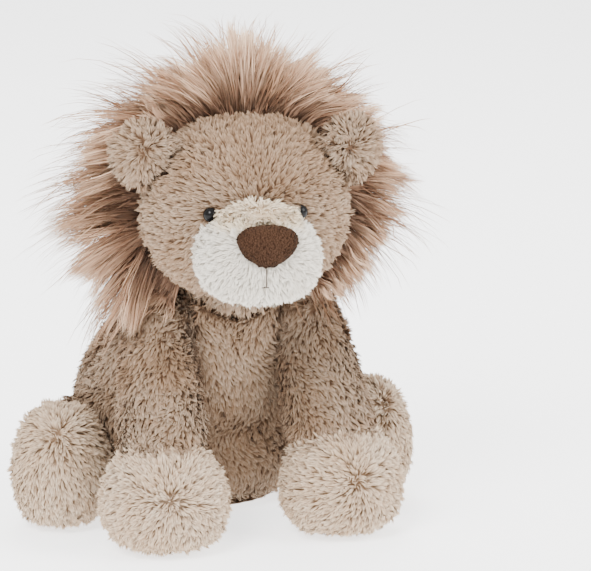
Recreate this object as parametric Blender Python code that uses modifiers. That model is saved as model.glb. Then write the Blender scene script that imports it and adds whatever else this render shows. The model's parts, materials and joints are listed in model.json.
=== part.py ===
"""A sitting plush lion as its sewn covers, their stuffing and the plastic eyes.

Metres, +Z up. The lion faces -Y and its own left is +X. The origin is on the floor under the seat.
Every cover is a shell of fur cloth round its own stuffing. The neck, legs, ears and tail turn on
ball-shaped roots in sockets of what carries them, as the soft seams of the real toy let them.
"""

import math

import bmesh
import bpy
from mathutils import Matrix, Vector
from mathutils.bvhtree import BVHTree

# Cloth, seams and facets
CLOTH = 0.0028
SEAM_GAP = 0.0003
FLOOR_PRESS = 0.0005
OVERRUN = 0.03
NECK_FACETS = 26
BALL_FACETS = 16
SWING_STEPS = 4
SWING_CLEARANCE = 0.0008
SMALL_BALL_FACETS = 14
BODY_FACETS = 12
LIMB_FACETS = 8
SMALL_FACETS = 6

# Torso: stacked level rings from the seat up to the shoulders
TORSO_WIDTH = 0.208
TORSO_DEPTH = 0.178
TORSO_HEIGHT = 0.202
TORSO_LEAN = 0.092
SEAT_BACK = 0.009
TORSO_SHARES = (  # height, width, depth, lean
    (-0.02, 0.66, 0.66, 0.00),
    (0.08, 0.92, 0.92, 0.00),
    (0.34, 1.02, 1.02, 0.01),
    (0.58, 0.98, 0.97, 0.22),
    (0.78, 0.83, 0.83, 0.54),
    (0.93, 0.64, 0.65, 0.82),
    (1.00, 0.40, 0.38, 0.94),
)
SEAT_PANEL = 0.003
SEAT_PANEL_SHARE = 0.70
BEAN_BAG_WIDTH = 0.088
BEAN_BAG_DEPTH = 0.112
BEAN_BAG_HEIGHT = 0.042

# Neck: the gathered, stuffed ball between torso and head
NECK_FORWARD = 0.095
NECK_UP = 0.212

# Head, built about its own middle, with the neck and all that it carries sized from its width
HEAD_TURNED = math.radians(11)
HEAD_WIDTH = 0.170
NECK_RADIUS_SHARE = 0.2529
NECK_RADIUS = NECK_RADIUS_SHARE * HEAD_WIDTH
HEAD_DEPTH_SHARE = 0.8706
HEAD_HEIGHT_SHARE = 0.8882
HEAD_FORWARD_SHARE = 0.2647
HEAD_UP_SHARE = 0.3235
HEAD_DEPTH = HEAD_DEPTH_SHARE * HEAD_WIDTH
HEAD_HEIGHT = HEAD_HEIGHT_SHARE * HEAD_WIDTH
HEAD_SIDE = 0.002
HEAD_FORWARD = HEAD_FORWARD_SHARE * HEAD_WIDTH
HEAD_UP = HEAD_UP_SHARE * HEAD_WIDTH
HEAD_SHARES = (  # height, width, depth, forward
    (-0.50, 0.40, 0.38, 0.00),
    (-0.32, 0.90, 0.86, 0.01),
    (0.00, 1.06, 1.04, 0.01),
    (0.33, 0.86, 0.88, -0.02),
    (0.50, 0.42, 0.44, -0.04),
)

# Muzzle, bridge and nose
MUZZLE_WIDTH_SHARE = 0.5824
MUZZLE_HEIGHT_SHARE = 0.4353
MUZZLE_REACH_SHARE = 0.6529
MUZZLE_DROP_SHARE = 0.15
MUZZLE_WIDTH = MUZZLE_WIDTH_SHARE * HEAD_WIDTH
MUZZLE_HEIGHT = MUZZLE_HEIGHT_SHARE * HEAD_WIDTH
MUZZLE_REACH = MUZZLE_REACH_SHARE * HEAD_WIDTH
MUZZLE_DROP = MUZZLE_DROP_SHARE * HEAD_WIDTH
MUZZLE_SQUARE = 2.7
MUZZLE_SHARES = (  # reach, width, height
    (0.30, 0.84, 0.80),
    (0.56, 1.00, 1.00),
    (0.80, 0.98, 0.98),
    (0.95, 0.82, 0.82),
    (1.00, 0.46, 0.46),
)
MUZZLE_SEAM = 0.0008
BRIDGE_WIDTH_SHARE = 0.4118
BRIDGE_HEIGHT_SHARE = 0.2118
BRIDGE_WIDTH = BRIDGE_WIDTH_SHARE * HEAD_WIDTH
BRIDGE_HEIGHT = BRIDGE_HEIGHT_SHARE * HEAD_WIDTH
BRIDGE_UP = 0.002
BRIDGE_SHARES = (  # muzzle reach, width, height, drop
    (0.42, 0.94, 0.80, -0.10),
    (0.62, 1.00, 1.00, 0.00),
    (0.82, 0.88, 0.90, 0.10),
    (0.94, 0.62, 0.60, 0.16),
)
NOSE_WIDTH_SHARE = 0.3706
NOSE_HEIGHT_SHARE = 0.2353
NOSE_THICKNESS_SHARE = 0.1294
NOSE_UP_SHARE = -0.0706
NOSE_FORWARD_SHARE = 0.6353
NOSE_WIDTH = NOSE_WIDTH_SHARE * HEAD_WIDTH
NOSE_HEIGHT = NOSE_HEIGHT_SHARE * HEAD_WIDTH
NOSE_THICKNESS = NOSE_THICKNESS_SHARE * HEAD_WIDTH
NOSE_UP = NOSE_UP_SHARE * HEAD_WIDTH
NOSE_FORWARD = NOSE_FORWARD_SHARE * HEAD_WIDTH
NOSE_TILT = math.radians(14)
NOSE_NARROWING = 0.62
NOSE_SHARES = (  # thickness, outline
    (-0.50, 0.86),
    (-0.10, 1.00),
    (0.28, 0.90),
    (0.50, 0.55),
)

# Eyes: a glossy dome on a stem, held by a washer behind the cloth
EYE_RADIUS = 0.0054
EYE_DOME = 0.0042
EYE_RIM = 0.0008
EYE_APART = math.radians(56)
EYE_RISE = math.radians(4)
EYE_FACETS = 12
EYE_DOME_STEPS = 4
STEM_RADIUS = 0.0016
STEM_LENGTH = 0.012
WASHER_RADIUS = 0.0066
WASHER_THICKNESS = 0.0016

# Ears: a rounded cup with a lining, on a small ball root
EAR_WIDTH_SHARE = 0.3529
EAR_THICKNESS_SHARE = 0.1059
EAR_WIDTH = EAR_WIDTH_SHARE * HEAD_WIDTH
EAR_HEIGHT = EAR_WIDTH
EAR_THICKNESS = EAR_THICKNESS_SHARE * HEAD_WIDTH
EAR_OUT = math.radians(60)
EAR_FORWARD = math.radians(14)
EAR_TURN = math.radians(22)
EAR_ROOT_SHARE = 0.0559
EAR_SINK_SHARE = 0.0118
EAR_CLEARANCE_SHARE = 0.0176
EAR_ROOT_RADIUS = EAR_ROOT_SHARE * HEAD_WIDTH
EAR_ROOT_SINK = EAR_SINK_SHARE * HEAD_WIDTH
EAR_CLEARANCE = EAR_CLEARANCE_SHARE * HEAD_WIDTH
EAR_STAND_SHARE = 0.0765
EAR_AHEAD_SHARE = 0.0294
EAR_STAND = EAR_STAND_SHARE * HEAD_WIDTH
EAR_AHEAD = EAR_AHEAD_SHARE * HEAD_WIDTH
EAR_SHARES = (  # depth back from the front rim, radius
    (1.00, 0.50),
    (0.62, 1.00),
    (0.04, 0.94),
    (0.40, 0.44),
)
LINING_SHARES = (  # depth back from the front rim, radius
    (0.50, 0.26),
    (0.24, 0.66),
    (0.08, 0.60),
    (0.22, 0.24),
)

# Mane: a hood of long fur behind the ears, in pointed locks
MANE_WIDTH_SHARE = 1.6235
MANE_HEIGHT_SHARE = 1.2471
MANE_DEPTH_SHARE = 0.6118
MANE_UP_SHARE = 0.1059
MANE_WIDTH = MANE_WIDTH_SHARE * HEAD_WIDTH
MANE_HEIGHT = MANE_HEIGHT_SHARE * HEAD_WIDTH
MANE_DEPTH = MANE_DEPTH_SHARE * HEAD_WIDTH
MANE_UP = MANE_UP_SHARE * HEAD_WIDTH
MANE_FRONT = 0.002
MANE_LOCKS = 14
MANE_SHARES = (  # depth, radius, lock length as a share of the radius
    (0.00, 0.76, 0.12),
    (0.22, 0.98, 0.20),
    (0.56, 0.86, 0.11),
    (0.86, 0.54, 0.04),
    (1.00, 0.24, 0.00),
)
MANE_BODY_CLEARANCE = 0.012
MANE_SHOULDER_CLEARANCE = 0.021
MANE_NECK_CLEARANCE = 0.003
MANE_EAR_CLEARANCE = 0.008

# Front legs
SHOULDER_APART = 0.122
SHOULDER_FORWARD = 0.092
SHOULDER_UP = 0.166
SHOULDER_RADIUS = 0.029
SHOULDER_SWING = math.radians(45)
FRONT_LEG_WIDTH = 0.071
FRONT_LEG_DEPTH = 0.068
PAW_WIDTH = 0.106
PAW_DEPTH = 0.096
PAW_HEIGHT = 0.088
PAW_OUT = 0.012
PAW_FORWARD = 0.050
PAW_SPLAY = math.radians(12)
FRONT_LEG_SHARES = (  # way from shoulder to paw, width
    (-0.16, 0.50),
    (0.00, 0.84),
    (0.26, 0.98),
    (0.62, 1.12),
    (1.00, 1.12),
)
FOOT_SHARES = (  # height, width, depth
    (0.00, 0.64, 0.64),
    (0.16, 0.98, 0.98),
    (0.52, 1.08, 1.08),
    (0.86, 0.80, 0.80),
    (1.00, 0.40, 0.40),
)

# Hind legs
HIP_APART = 0.188
HIP_BACK = 0.004
HIP_UP = 0.047
HIP_RADIUS = 0.043
HIP_SWING = math.radians(30)
HIND_LEG_WIDTH = 0.078
HIND_FOOT_WIDTH = 0.084
HIND_FOOT_DEPTH = 0.084
HIND_FOOT_HEIGHT = 0.102
HIND_FOOT_OUT = 0.034
HIND_FOOT_FORWARD = 0.052
HIND_LEG_SHARES = (  # way from hip to foot, width
    (-0.25, 0.50),
    (0.05, 0.90),
    (0.60, 1.00),
    (0.85, 0.86),
)

# Tail, lying on the floor behind
TAIL_UP = 0.036
TAIL_RADIUS = 0.0085
TAIL_ROOT_RADIUS = 0.014
TAIL_ROOT_SINK = 0.004
TAIL_BACK = 0.082
TAIL_SIDE = 0.078
TAIL_SHARES = (  # back, side, fall to the floor, radius
    (-0.06, 0.00, 0.00, 0.60),
    (0.08, 0.00, 0.10, 1.00),
    (0.34, 0.02, 0.66, 1.00),
    (0.62, 0.14, 1.00, 1.00),
    (0.84, 0.44, 1.00, 0.95),
    (0.97, 0.88, 1.00, 0.85),
    (0.99, 1.00, 1.00, 0.50),
)
TUFT_LENGTH = 0.062
TUFT_RADIUS = 0.017
TUFT_SHARES = (  # length, radius
    (-0.06, 0.55),
    (0.14, 0.86),
    (0.45, 1.00),
    (0.80, 0.60),
    (1.00, 0.14),
)


def clear_scene():
    for obj in list(bpy.data.objects):
        bpy.data.objects.remove(obj)


def new_collection(name):
    made = bpy.data.collections.new(name)
    bpy.context.scene.collection.children.link(made)
    return made


def material(name, colour, roughness, metallic=0.0):
    made = bpy.data.materials.new(name)
    made.use_nodes = True
    shader = made.node_tree.nodes["Principled BSDF"]
    shader.inputs["Base Color"].default_value = (*colour, 1.0)
    shader.inputs["Roughness"].default_value = roughness
    shader.inputs["Metallic"].default_value = metallic
    return made


def hinge_empty(name, place, parent=None, turned=0.0):
    """An empty on a joint's axis, which carries the pieces that turn there."""
    empty = bpy.data.objects.new(name, None)
    empty.empty_display_size = SHOULDER_RADIUS
    lion.objects.link(empty)
    empty.parent = parent
    empty.location = place
    empty.rotation_euler.z = turned
    bpy.context.view_layer.update()
    return empty


def fullness(facets):
    """The share of a ring's radius that one subdivision leaves, to which the cages are made larger."""
    return (3.0 + math.cos(math.tau / facets)) / 4.0


def ring(centre, across, along, facets, square=2.0, narrowing=0.0):
    """One ring of a cage. A square value over 2 flattens its sides, and narrowing draws in its foot."""
    points = []
    for i in range(facets):
        angle = math.tau * i / facets
        c = math.copysign(abs(math.cos(angle)) ** (2.0 / square), math.cos(angle))
        s = math.copysign(abs(math.sin(angle)) ** (2.0 / square), math.sin(angle))
        width = 1.0 - narrowing * (1.0 - s) / 2.0
        points.append(centre + (across * c * width + along * s) / fullness(facets))
    return points


def loft(name, rings):
    """A closed cage through rings of points, each end closed by one face."""
    bm = bmesh.new()
    rows = [[bm.verts.new(point) for point in points] for points in rings]
    for low, high in zip(rows, rows[1:]):
        for i in range(len(low)):
            j = (i + 1) % len(low)
            bm.faces.new((low[i], low[j], high[j], high[i]))
    bm.faces.new(rows[0][::-1])
    bm.faces.new(rows[-1])
    bmesh.ops.recalc_face_normals(bm, faces=bm.faces)
    mesh = bpy.data.meshes.new(name)
    bm.to_mesh(mesh)
    bm.free()
    mesh.shade_smooth()
    return mesh


def add_object(name, mesh, parent, collection):
    obj = bpy.data.objects.new(name, mesh)
    collection.objects.link(obj)
    obj.parent = parent
    return obj


def round_off(obj):
    """One subdivision rounds a cage."""
    rounding = obj.modifiers.new("rounding", "SUBSURF")
    rounding.levels = 1
    rounding.render_levels = 1
    return obj


def swell(obj, distance):
    """Moves the skin of a form out, or in where the distance is negative."""
    if distance:
        skin = obj.modifiers.new("swell", "DISPLACE")
        skin.mid_level = 0.0
        skin.strength = distance
    return obj


def piece(name, mesh, parent, finish):
    obj = add_object(name, mesh, parent, lion)
    obj.data.materials.clear()
    obj.data.materials.append(finish)
    return obj


def cutter(name, mesh, parent):
    obj = add_object(name, mesh, parent, cutters)
    obj.hide_render = True
    obj.display_type = "WIRE"
    return obj


def soft_piece(name, cage, parent, finish):
    return round_off(piece(name, cage, parent, finish))


def clear_cutter(name, cage, parent, clearance):
    """The rounded form of a cage with a clearance all round, to cut what lies against it."""
    return swell(round_off(cutter(name, cage.copy(), parent)), clearance)


def drawn_in(cage):
    """A copy of a cage with its corners where one subdivision puts them, so it nests in the form."""
    bm = bmesh.new()
    bm.from_mesh(cage)
    places = []
    for corner in bm.verts:
        count = len(corner.link_edges)
        faces = sum((face.calc_center_median() for face in corner.link_faces), Vector())
        edges = sum(((edge.verts[0].co + edge.verts[1].co) for edge in corner.link_edges), Vector())
        places.append((faces / count + edges / count + corner.co * (count - 3)) / count)
    for corner, place in zip(bm.verts, places):
        corner.co = place
    mesh = bpy.data.meshes.new(f"{cage.name}_inside")
    bm.to_mesh(mesh)
    bm.free()
    mesh.shade_smooth()
    return mesh


def hollow_cutter(name, cage, parent):
    """What is inside the cloth of a sewn cover."""
    return swell(cutter(name, drawn_in(cage), parent), -CLOTH)


def filling_piece(name, cage, parent, finish):
    """Stuffing that fills a cover's hollow."""
    return swell(piece(name, drawn_in(cage), parent, finish), -CLOTH - SEAM_GAP)


def combine(obj, operation, *others):
    for other in others:
        step = obj.modifiers.new(f"{operation.lower()} {other.name}", "BOOLEAN")
        step.operation = operation
        step.object = other
    return obj


def cut(obj, *others):
    return combine(obj, "DIFFERENCE", *others)


def ball_mesh(name, radius, facets):
    bm = bmesh.new()
    bmesh.ops.create_uvsphere(bm, u_segments=facets, v_segments=facets // 2, radius=radius)
    mesh = bpy.data.meshes.new(name)
    bm.to_mesh(mesh)
    bm.free()
    mesh.shade_smooth()
    return mesh


def ball_cutter(name, radius, facets, parent):
    return cutter(name, ball_mesh(name, radius, facets), parent)


def socket_cutter(name, radius, facets, parent):
    """A socket whose flat facets still clear the ball's corners as it turns."""
    clear = (radius + SEAM_GAP) / math.cos(math.pi / facets) ** 2
    return ball_cutter(name, clear, facets, parent)


def box_cutter(name, low, high, parent=None):
    """A box between two corners."""
    bm = bmesh.new()
    middle = (low + high) / 2.0
    size = high - low
    place = Matrix.Translation(middle) @ Matrix.Diagonal((*size, 1.0))
    bmesh.ops.create_cube(bm, size=1.0, matrix=place)
    mesh = bpy.data.meshes.new(name)
    bm.to_mesh(mesh)
    bm.free()
    return cutter(name, mesh, parent)


def skin_of(obj):
    bpy.context.view_layer.update()
    graph = bpy.context.evaluated_depsgraph_get()
    return BVHTree.FromObject(obj, graph)


def on_skin(tree, start, direction):
    """The point and outward normal where a line from inside leaves a form, in the form's own frame."""
    place, normal, _, _ = tree.ray_cast(start, direction)
    return place, normal


def turned_mesh(name, profile, facets):
    """A profile in the XZ plane, top to bottom, turned about Z by a Screw modifier on its object."""
    mesh = bpy.data.meshes.new(name)
    edges = [(i, i + 1) for i in range(len(profile) - 1)]
    mesh.from_pydata([(x, 0.0, z) for x, z in profile], edges, [])
    obj = bpy.data.objects.new(name, mesh)
    turning = obj.modifiers.new("turning", "SCREW")
    turning.steps = facets
    turning.render_steps = facets
    turning.use_merge_vertices = True
    turning.merge_threshold = STEM_RADIUS / BALL_FACETS
    turning.use_smooth_shade = True
    return obj


def torso_rings():
    rings = []
    for height, width, depth, lean in TORSO_SHARES:
        centre = Vector((0.0, SEAT_BACK - lean * TORSO_LEAN, height * TORSO_HEIGHT))
        across = Vector((width * TORSO_WIDTH / 2.0, 0.0, 0.0))
        along = Vector((0.0, depth * TORSO_DEPTH / 2.0, 0.0))
        rings.append(ring(centre, across, along, BODY_FACETS))
    return rings


def make_torso(sockets):
    """The cover, the seat panel that closes it, the stuffing and the bag of beans low in the seat."""
    cover = soft_piece("torso_cover", torso_form, None, beige_fur)
    cut(cover, hollow_cutter("torso_hollow", torso_form, None), under_cover, *sockets)

    width = SEAT_PANEL_SHARE * TORSO_WIDTH / 2.0
    depth = SEAT_PANEL_SHARE * TORSO_DEPTH / 2.0
    bm = bmesh.new()
    place = Matrix.Translation((0.0, SEAT_BACK, SEAT_PANEL / 2.0))
    bmesh.ops.create_cone(
        bm,
        cap_ends=True,
        segments=2 * BODY_FACETS,
        radius1=1.0,
        radius2=1.0,
        depth=1.0,
        matrix=place @ Matrix.Diagonal((width, depth, SEAT_PANEL, 1.0)),
    )
    mesh = bpy.data.meshes.new("seat_panel")
    bm.to_mesh(mesh)
    bm.free()
    piece("seat_panel", mesh, None, beige_fur)

    bag_up = SEAT_PANEL + SEAM_GAP - FLOOR_PRESS + BEAN_BAG_HEIGHT / 2.0
    bag_centre = Vector((0.0, SEAT_BACK, bag_up))
    bag_rings = []
    for height, width, depth in FOOT_SHARES:
        centre = bag_centre + Vector((0.0, 0.0, (height - 1.0 / 2.0) * BEAN_BAG_HEIGHT))
        across = Vector((width * BEAN_BAG_WIDTH / 2.0, 0.0, 0.0))
        along = Vector((0.0, depth * BEAN_BAG_DEPTH / 2.0, 0.0))
        bag_rings.append(ring(centre, across, along, LIMB_FACETS))
    bag_form = loft("bean_bag_form", bag_rings)
    cut(soft_piece("seat_bean_bag", bag_form, None, white_cotton), under_cover)
    bag_room = clear_cutter("bean_bag_room", bag_form, None, SEAM_GAP)

    stuffing = filling_piece("torso_stuffing", torso_form, None, white_fibre)
    cut(stuffing, under_cover, bag_room, *sockets)


def carried_torso(name, hip, axis, reach):
    """The torso as a turning leg meets it, at steps back from the leg's furthest reach."""
    place = Matrix.Translation(hip.matrix_world.translation)
    made = []
    for i in range(1, SWING_STEPS + 1):
        back = Matrix.Rotation(-reach * i / SWING_STEPS, 4, axis)
        obj = clear_cutter(f"{name}_swing_{i}", torso_form, None, SWING_CLEARANCE)
        obj.matrix_world = place @ back @ place.inverted()
        made.append(obj)
    return made


def make_limb(names, hip, radius, foot, foot_size, splay, leg_size, leg_shares, finish, swing):
    """A leg and its foot: a tube on a ball root, a round foot cover, and one stuffing for both."""
    leg_name, foot_name, stuffing_name = names
    up = foot.normalized()
    side = Vector((1.0, 0.0, 0.0)) if abs(up.z) > abs(up.x) else Vector((0.0, 0.0, 1.0))
    along_side = up.cross(side).normalized()
    side = along_side.cross(up).normalized()
    leg_rings = [
        ring(
            foot * way,
            side * (share * leg_size[0] / 2.0),
            along_side * (share * leg_size[1] / 2.0),
            LIMB_FACETS,
        )
        for way, share in leg_shares
    ]
    leg_form = loft(f"{leg_name}_form", leg_rings)

    turn = Matrix.Rotation(splay, 3, "Z")
    foot_floor = -hip.matrix_world.translation.z - FLOOR_PRESS
    foot_rings = []
    for height, width, depth in FOOT_SHARES:
        centre = Vector((foot.x, foot.y, foot_floor + height * foot_size[2]))
        across = turn @ Vector((width * foot_size[0] / 2.0, 0.0, 0.0))
        along = turn @ Vector((0.0, depth * foot_size[1] / 2.0, 0.0))
        foot_rings.append(ring(centre, across, along, LIMB_FACETS))
    foot_form = loft(f"{foot_name}_form", foot_rings)

    swings = carried_torso(leg_name, hip, *swing)
    leg_hollow = hollow_cutter(f"{leg_name}_hollow", leg_form, hip)
    cut(leg_hollow, torso_clear_of_lining)
    foot_hollow = hollow_cutter(f"{foot_name}_hollow", foot_form, hip)
    cut(foot_hollow, torso_clear_of_lining, floor_cloth)
    foot_clear = clear_cutter(f"{foot_name}_clear", foot_form, hip, SEAM_GAP)
    root = ball_cutter(f"{leg_name}_root", radius, BALL_FACETS, hip)

    leg = soft_piece(leg_name, leg_form, hip, beige_fur)
    cut(leg, torso_clear, *swings)
    combine(leg, "UNION", root)
    cut(leg, leg_hollow, foot_clear, floor)

    cover = soft_piece(foot_name, foot_form, hip, finish)
    cut(cover, foot_hollow, leg_hollow, torso_clear, *swings, floor)

    foot_filling = swell(cutter(f"{foot_name}_filling", drawn_in(foot_form), hip), -CLOTH - SEAM_GAP)
    cut(foot_filling, torso_clear_of_filling, floor_filling)
    stuffing = filling_piece(stuffing_name, leg_form, hip, white_fibre)
    cut(stuffing, torso_clear_of_filling, floor_filling)
    combine(stuffing, "UNION", foot_filling)


def make_front_leg(side, name):
    shoulder = shoulders[side]
    foot = Vector((side * PAW_OUT, -PAW_FORWARD, PAW_HEIGHT / 2.0 - SHOULDER_UP))
    make_limb(
        (f"front_leg_cover_{name}", f"front_paw_cover_{name}", f"front_leg_stuffing_{name}"),
        shoulder,
        SHOULDER_RADIUS,
        foot,
        (PAW_WIDTH, PAW_DEPTH, PAW_HEIGHT + FLOOR_PRESS),
        side * PAW_SPLAY,
        (FRONT_LEG_WIDTH, FRONT_LEG_DEPTH),
        FRONT_LEG_SHARES,
        pale_fur,
        (Vector((-1.0, 0.0, 0.0)), SHOULDER_SWING),
    )


def make_hind_leg(side, name):
    hip = hips[side]
    rise = HIND_FOOT_HEIGHT / 2.0 - HIP_UP
    foot = Vector((side * HIND_FOOT_OUT, -HIND_FOOT_FORWARD, rise))
    make_limb(
        (f"hind_leg_cover_{name}", f"hind_foot_cover_{name}", f"hind_leg_stuffing_{name}"),
        hip,
        HIP_RADIUS,
        foot,
        (HIND_FOOT_WIDTH, HIND_FOOT_DEPTH, HIND_FOOT_HEIGHT + FLOOR_PRESS),
        side * PAW_SPLAY,
        (HIND_LEG_WIDTH, HIND_LEG_WIDTH),
        HIND_LEG_SHARES,
        pale_fur,
        (Vector((0.0, 0.0, side)), HIP_SWING),
    )


def head_rings():
    rings = []
    for height, width, depth, forward in HEAD_SHARES:
        centre = head_middle + Vector((0.0, -forward * HEAD_DEPTH, height * HEAD_HEIGHT))
        across = Vector((width * HEAD_WIDTH / 2.0, 0.0, 0.0))
        along = Vector((0.0, depth * HEAD_DEPTH / 2.0, 0.0))
        rings.append(ring(centre, across, along, BODY_FACETS))
    return rings


def muzzle_rings():
    rings = []
    for reach, width, height in MUZZLE_SHARES:
        centre = head_middle + Vector((0.0, -reach * MUZZLE_REACH, -MUZZLE_DROP))
        across = Vector((width * MUZZLE_WIDTH / 2.0, 0.0, 0.0))
        along = Vector((0.0, 0.0, height * MUZZLE_HEIGHT / 2.0))
        rings.append(ring(centre, across, along, BODY_FACETS - 2, MUZZLE_SQUARE))
    return rings


def bridge_rings():
    rings = []
    for reach, width, height, drop in BRIDGE_SHARES:
        rise = BRIDGE_UP - drop * BRIDGE_HEIGHT
        centre = head_middle + Vector((0.0, -reach * MUZZLE_REACH, rise))
        across = Vector((width * BRIDGE_WIDTH / 2.0, 0.0, 0.0))
        along = Vector((0.0, 0.0, height * BRIDGE_HEIGHT / 2.0))
        rings.append(ring(centre, across, along, SMALL_FACETS))
    return rings


def nose_rings():
    tilt = Matrix.Rotation(NOSE_TILT, 3, "X")
    middle = head_middle + Vector((0.0, -NOSE_FORWARD, NOSE_UP))
    rings = []
    for way, size in NOSE_SHARES:
        centre = middle + tilt @ Vector((0.0, -way * NOSE_THICKNESS, 0.0))
        across = tilt @ Vector((size * NOSE_WIDTH / 2.0, 0.0, 0.0))
        along = tilt @ Vector((0.0, 0.0, size * NOSE_HEIGHT / 2.0))
        rings.append(ring(centre, across, along, LIMB_FACETS + 1, 2.0, NOSE_NARROWING))
    return rings


def make_face(eye_clears):
    """The white muzzle in two halves, its stuffing, the cream bridge and the velour nose."""
    halves = {"left": 1.0, "right": -1.0}
    muzzle_hollow = hollow_cutter("muzzle_hollow", muzzle_form, head)
    for name, side in halves.items():
        low = head_middle + Vector((side * MUZZLE_SEAM / 2.0, OVERRUN, -MUZZLE_HEIGHT))
        high = head_middle + Vector((-side * MUZZLE_WIDTH, -MUZZLE_REACH - OVERRUN, MUZZLE_HEIGHT))
        corners = [sorted(pair) for pair in zip(low, high)]
        low = Vector(pair[0] for pair in corners)
        high = Vector(pair[1] for pair in corners)
        other_half = box_cutter(f"muzzle_half_{name}", low, high, head)
        cover = soft_piece(f"muzzle_cover_{name}", muzzle_form.copy(), head, white_fur)
        cut(cover, muzzle_hollow, head_clear, other_half, *eye_clears)

    stuffing = filling_piece("muzzle_stuffing", muzzle_form, head, white_fibre)
    cut(stuffing, head_clear, *eye_clears)

    bridge = soft_piece("bridge_panel", bridge_form, head, cream_fur)
    cut(bridge, head_clear, muzzle_clear, *eye_clears)
    nose = soft_piece("nose", nose_form, head, brown_velour)
    cut(nose, head_clear, muzzle_clear, bridge_clear)


def eye_profile():
    dome = []
    for i in range(EYE_DOME_STEPS + 1):
        angle = math.pi / 2.0 * i / EYE_DOME_STEPS
        dome.append((EYE_RADIUS * math.sin(angle), EYE_RIM + EYE_DOME * math.cos(angle)))
    return dome + [
        (EYE_RADIUS, 0.0),
        (STEM_RADIUS, 0.0),
        (STEM_RADIUS, -STEM_LENGTH),
        (0.0, -STEM_LENGTH),
    ]


def washer_profile(inner, outer, thickness):
    return [
        (inner, thickness / 2.0),
        (outer, thickness / 2.0),
        (outer, -thickness / 2.0),
        (inner, -thickness / 2.0),
        (inner, thickness / 2.0),
    ]


def place_turned(obj, collection, place, facing):
    collection.objects.link(obj)
    obj.parent = head
    obj.location = place
    obj.rotation_euler = facing.to_track_quat("Z", "Y").to_euler()
    return obj


def rod_cutter(name, radius, low, high, place, facing):
    """A round rod along the facing direction, from low to high along it."""
    bm = bmesh.new()
    bmesh.ops.create_cone(
        bm,
        cap_ends=True,
        segments=EYE_FACETS,
        radius1=radius,
        radius2=radius,
        depth=high - low,
        matrix=Matrix.Translation((0.0, 0.0, (high + low) / 2.0)),
    )
    mesh = bpy.data.meshes.new(name)
    bm.to_mesh(mesh)
    bm.free()
    obj = cutter(name, mesh, head)
    obj.location = place
    obj.rotation_euler = facing.to_track_quat("Z", "Y").to_euler()
    return obj


def make_eye(side, name):
    """The eye seats on the cover, its stem goes through, and the washer grips it from inside."""
    angle = side * EYE_APART / 2.0
    level = math.cos(EYE_RISE)
    look = Vector((math.sin(angle) * level, -math.cos(angle) * level, math.sin(EYE_RISE)))
    seat, facing = on_skin(head_skin, head_middle, look)
    lift = EYE_RADIUS - math.sqrt(EYE_RADIUS**2 - (EYE_RADIUS / 2.0) ** 2)
    eye = turned_mesh(f"eye_{name}", eye_profile(), EYE_FACETS)
    eye.data.materials.append(black_plastic)
    place_turned(eye, lion, seat + facing * (SEAM_GAP + lift / 2.0), facing)
    inner = STEM_RADIUS + SEAM_GAP
    profile = washer_profile(inner, WASHER_RADIUS, WASHER_THICKNESS)
    washer = turned_mesh(f"eye_washer_{name}", profile, EYE_FACETS)
    washer.data.materials.append(white_plastic)
    behind = CLOTH + lift / 2.0 + SEAM_GAP + WASHER_THICKNESS / 2.0
    place_turned(washer, lion, seat - facing * behind, facing)
    hole = rod_cutter(f"eye_hole_{name}", inner, -STEM_LENGTH, EYE_RADIUS, seat, facing)
    room = rod_cutter(
        f"eye_room_{name}",
        WASHER_RADIUS + SEAM_GAP,
        -STEM_LENGTH - SEAM_GAP,
        EYE_RADIUS,
        seat,
        facing,
    )
    clear = rod_cutter(
        f"eye_clear_{name}",
        EYE_RADIUS + SEAM_GAP,
        -STEM_LENGTH,
        2.0 * EYE_RADIUS,
        seat,
        facing,
    )
    return hole, room, clear


def ear_frame(side):
    """The middle of an ear's front rim and its three directions, in the head's frame."""
    out = Vector((side * math.sin(EAR_OUT), 0.0, math.cos(EAR_OUT)))
    aim = out * math.cos(EAR_FORWARD) - Vector((0.0, math.sin(EAR_FORWARD), 0.0))
    root, _ = on_skin(head_skin, head_middle, aim)
    facing = Vector((side * math.sin(EAR_TURN), -math.cos(EAR_TURN), 0.0))
    across = out.cross(facing).normalized()
    rise = facing.cross(across)
    return root - aim * EAR_ROOT_SINK, rise, across, facing


def cup_rings(shares, middle, width, height, depth, out, across, facing):
    rings = []
    for way, size in shares:
        centre = middle - facing * (way - 1.0 / 2.0) * depth
        rings.append(
            ring(
                centre,
                across * (size * width / 2.0),
                out * (size * height / 2.0),
                LIMB_FACETS,
            )
        )
    return rings


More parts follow.
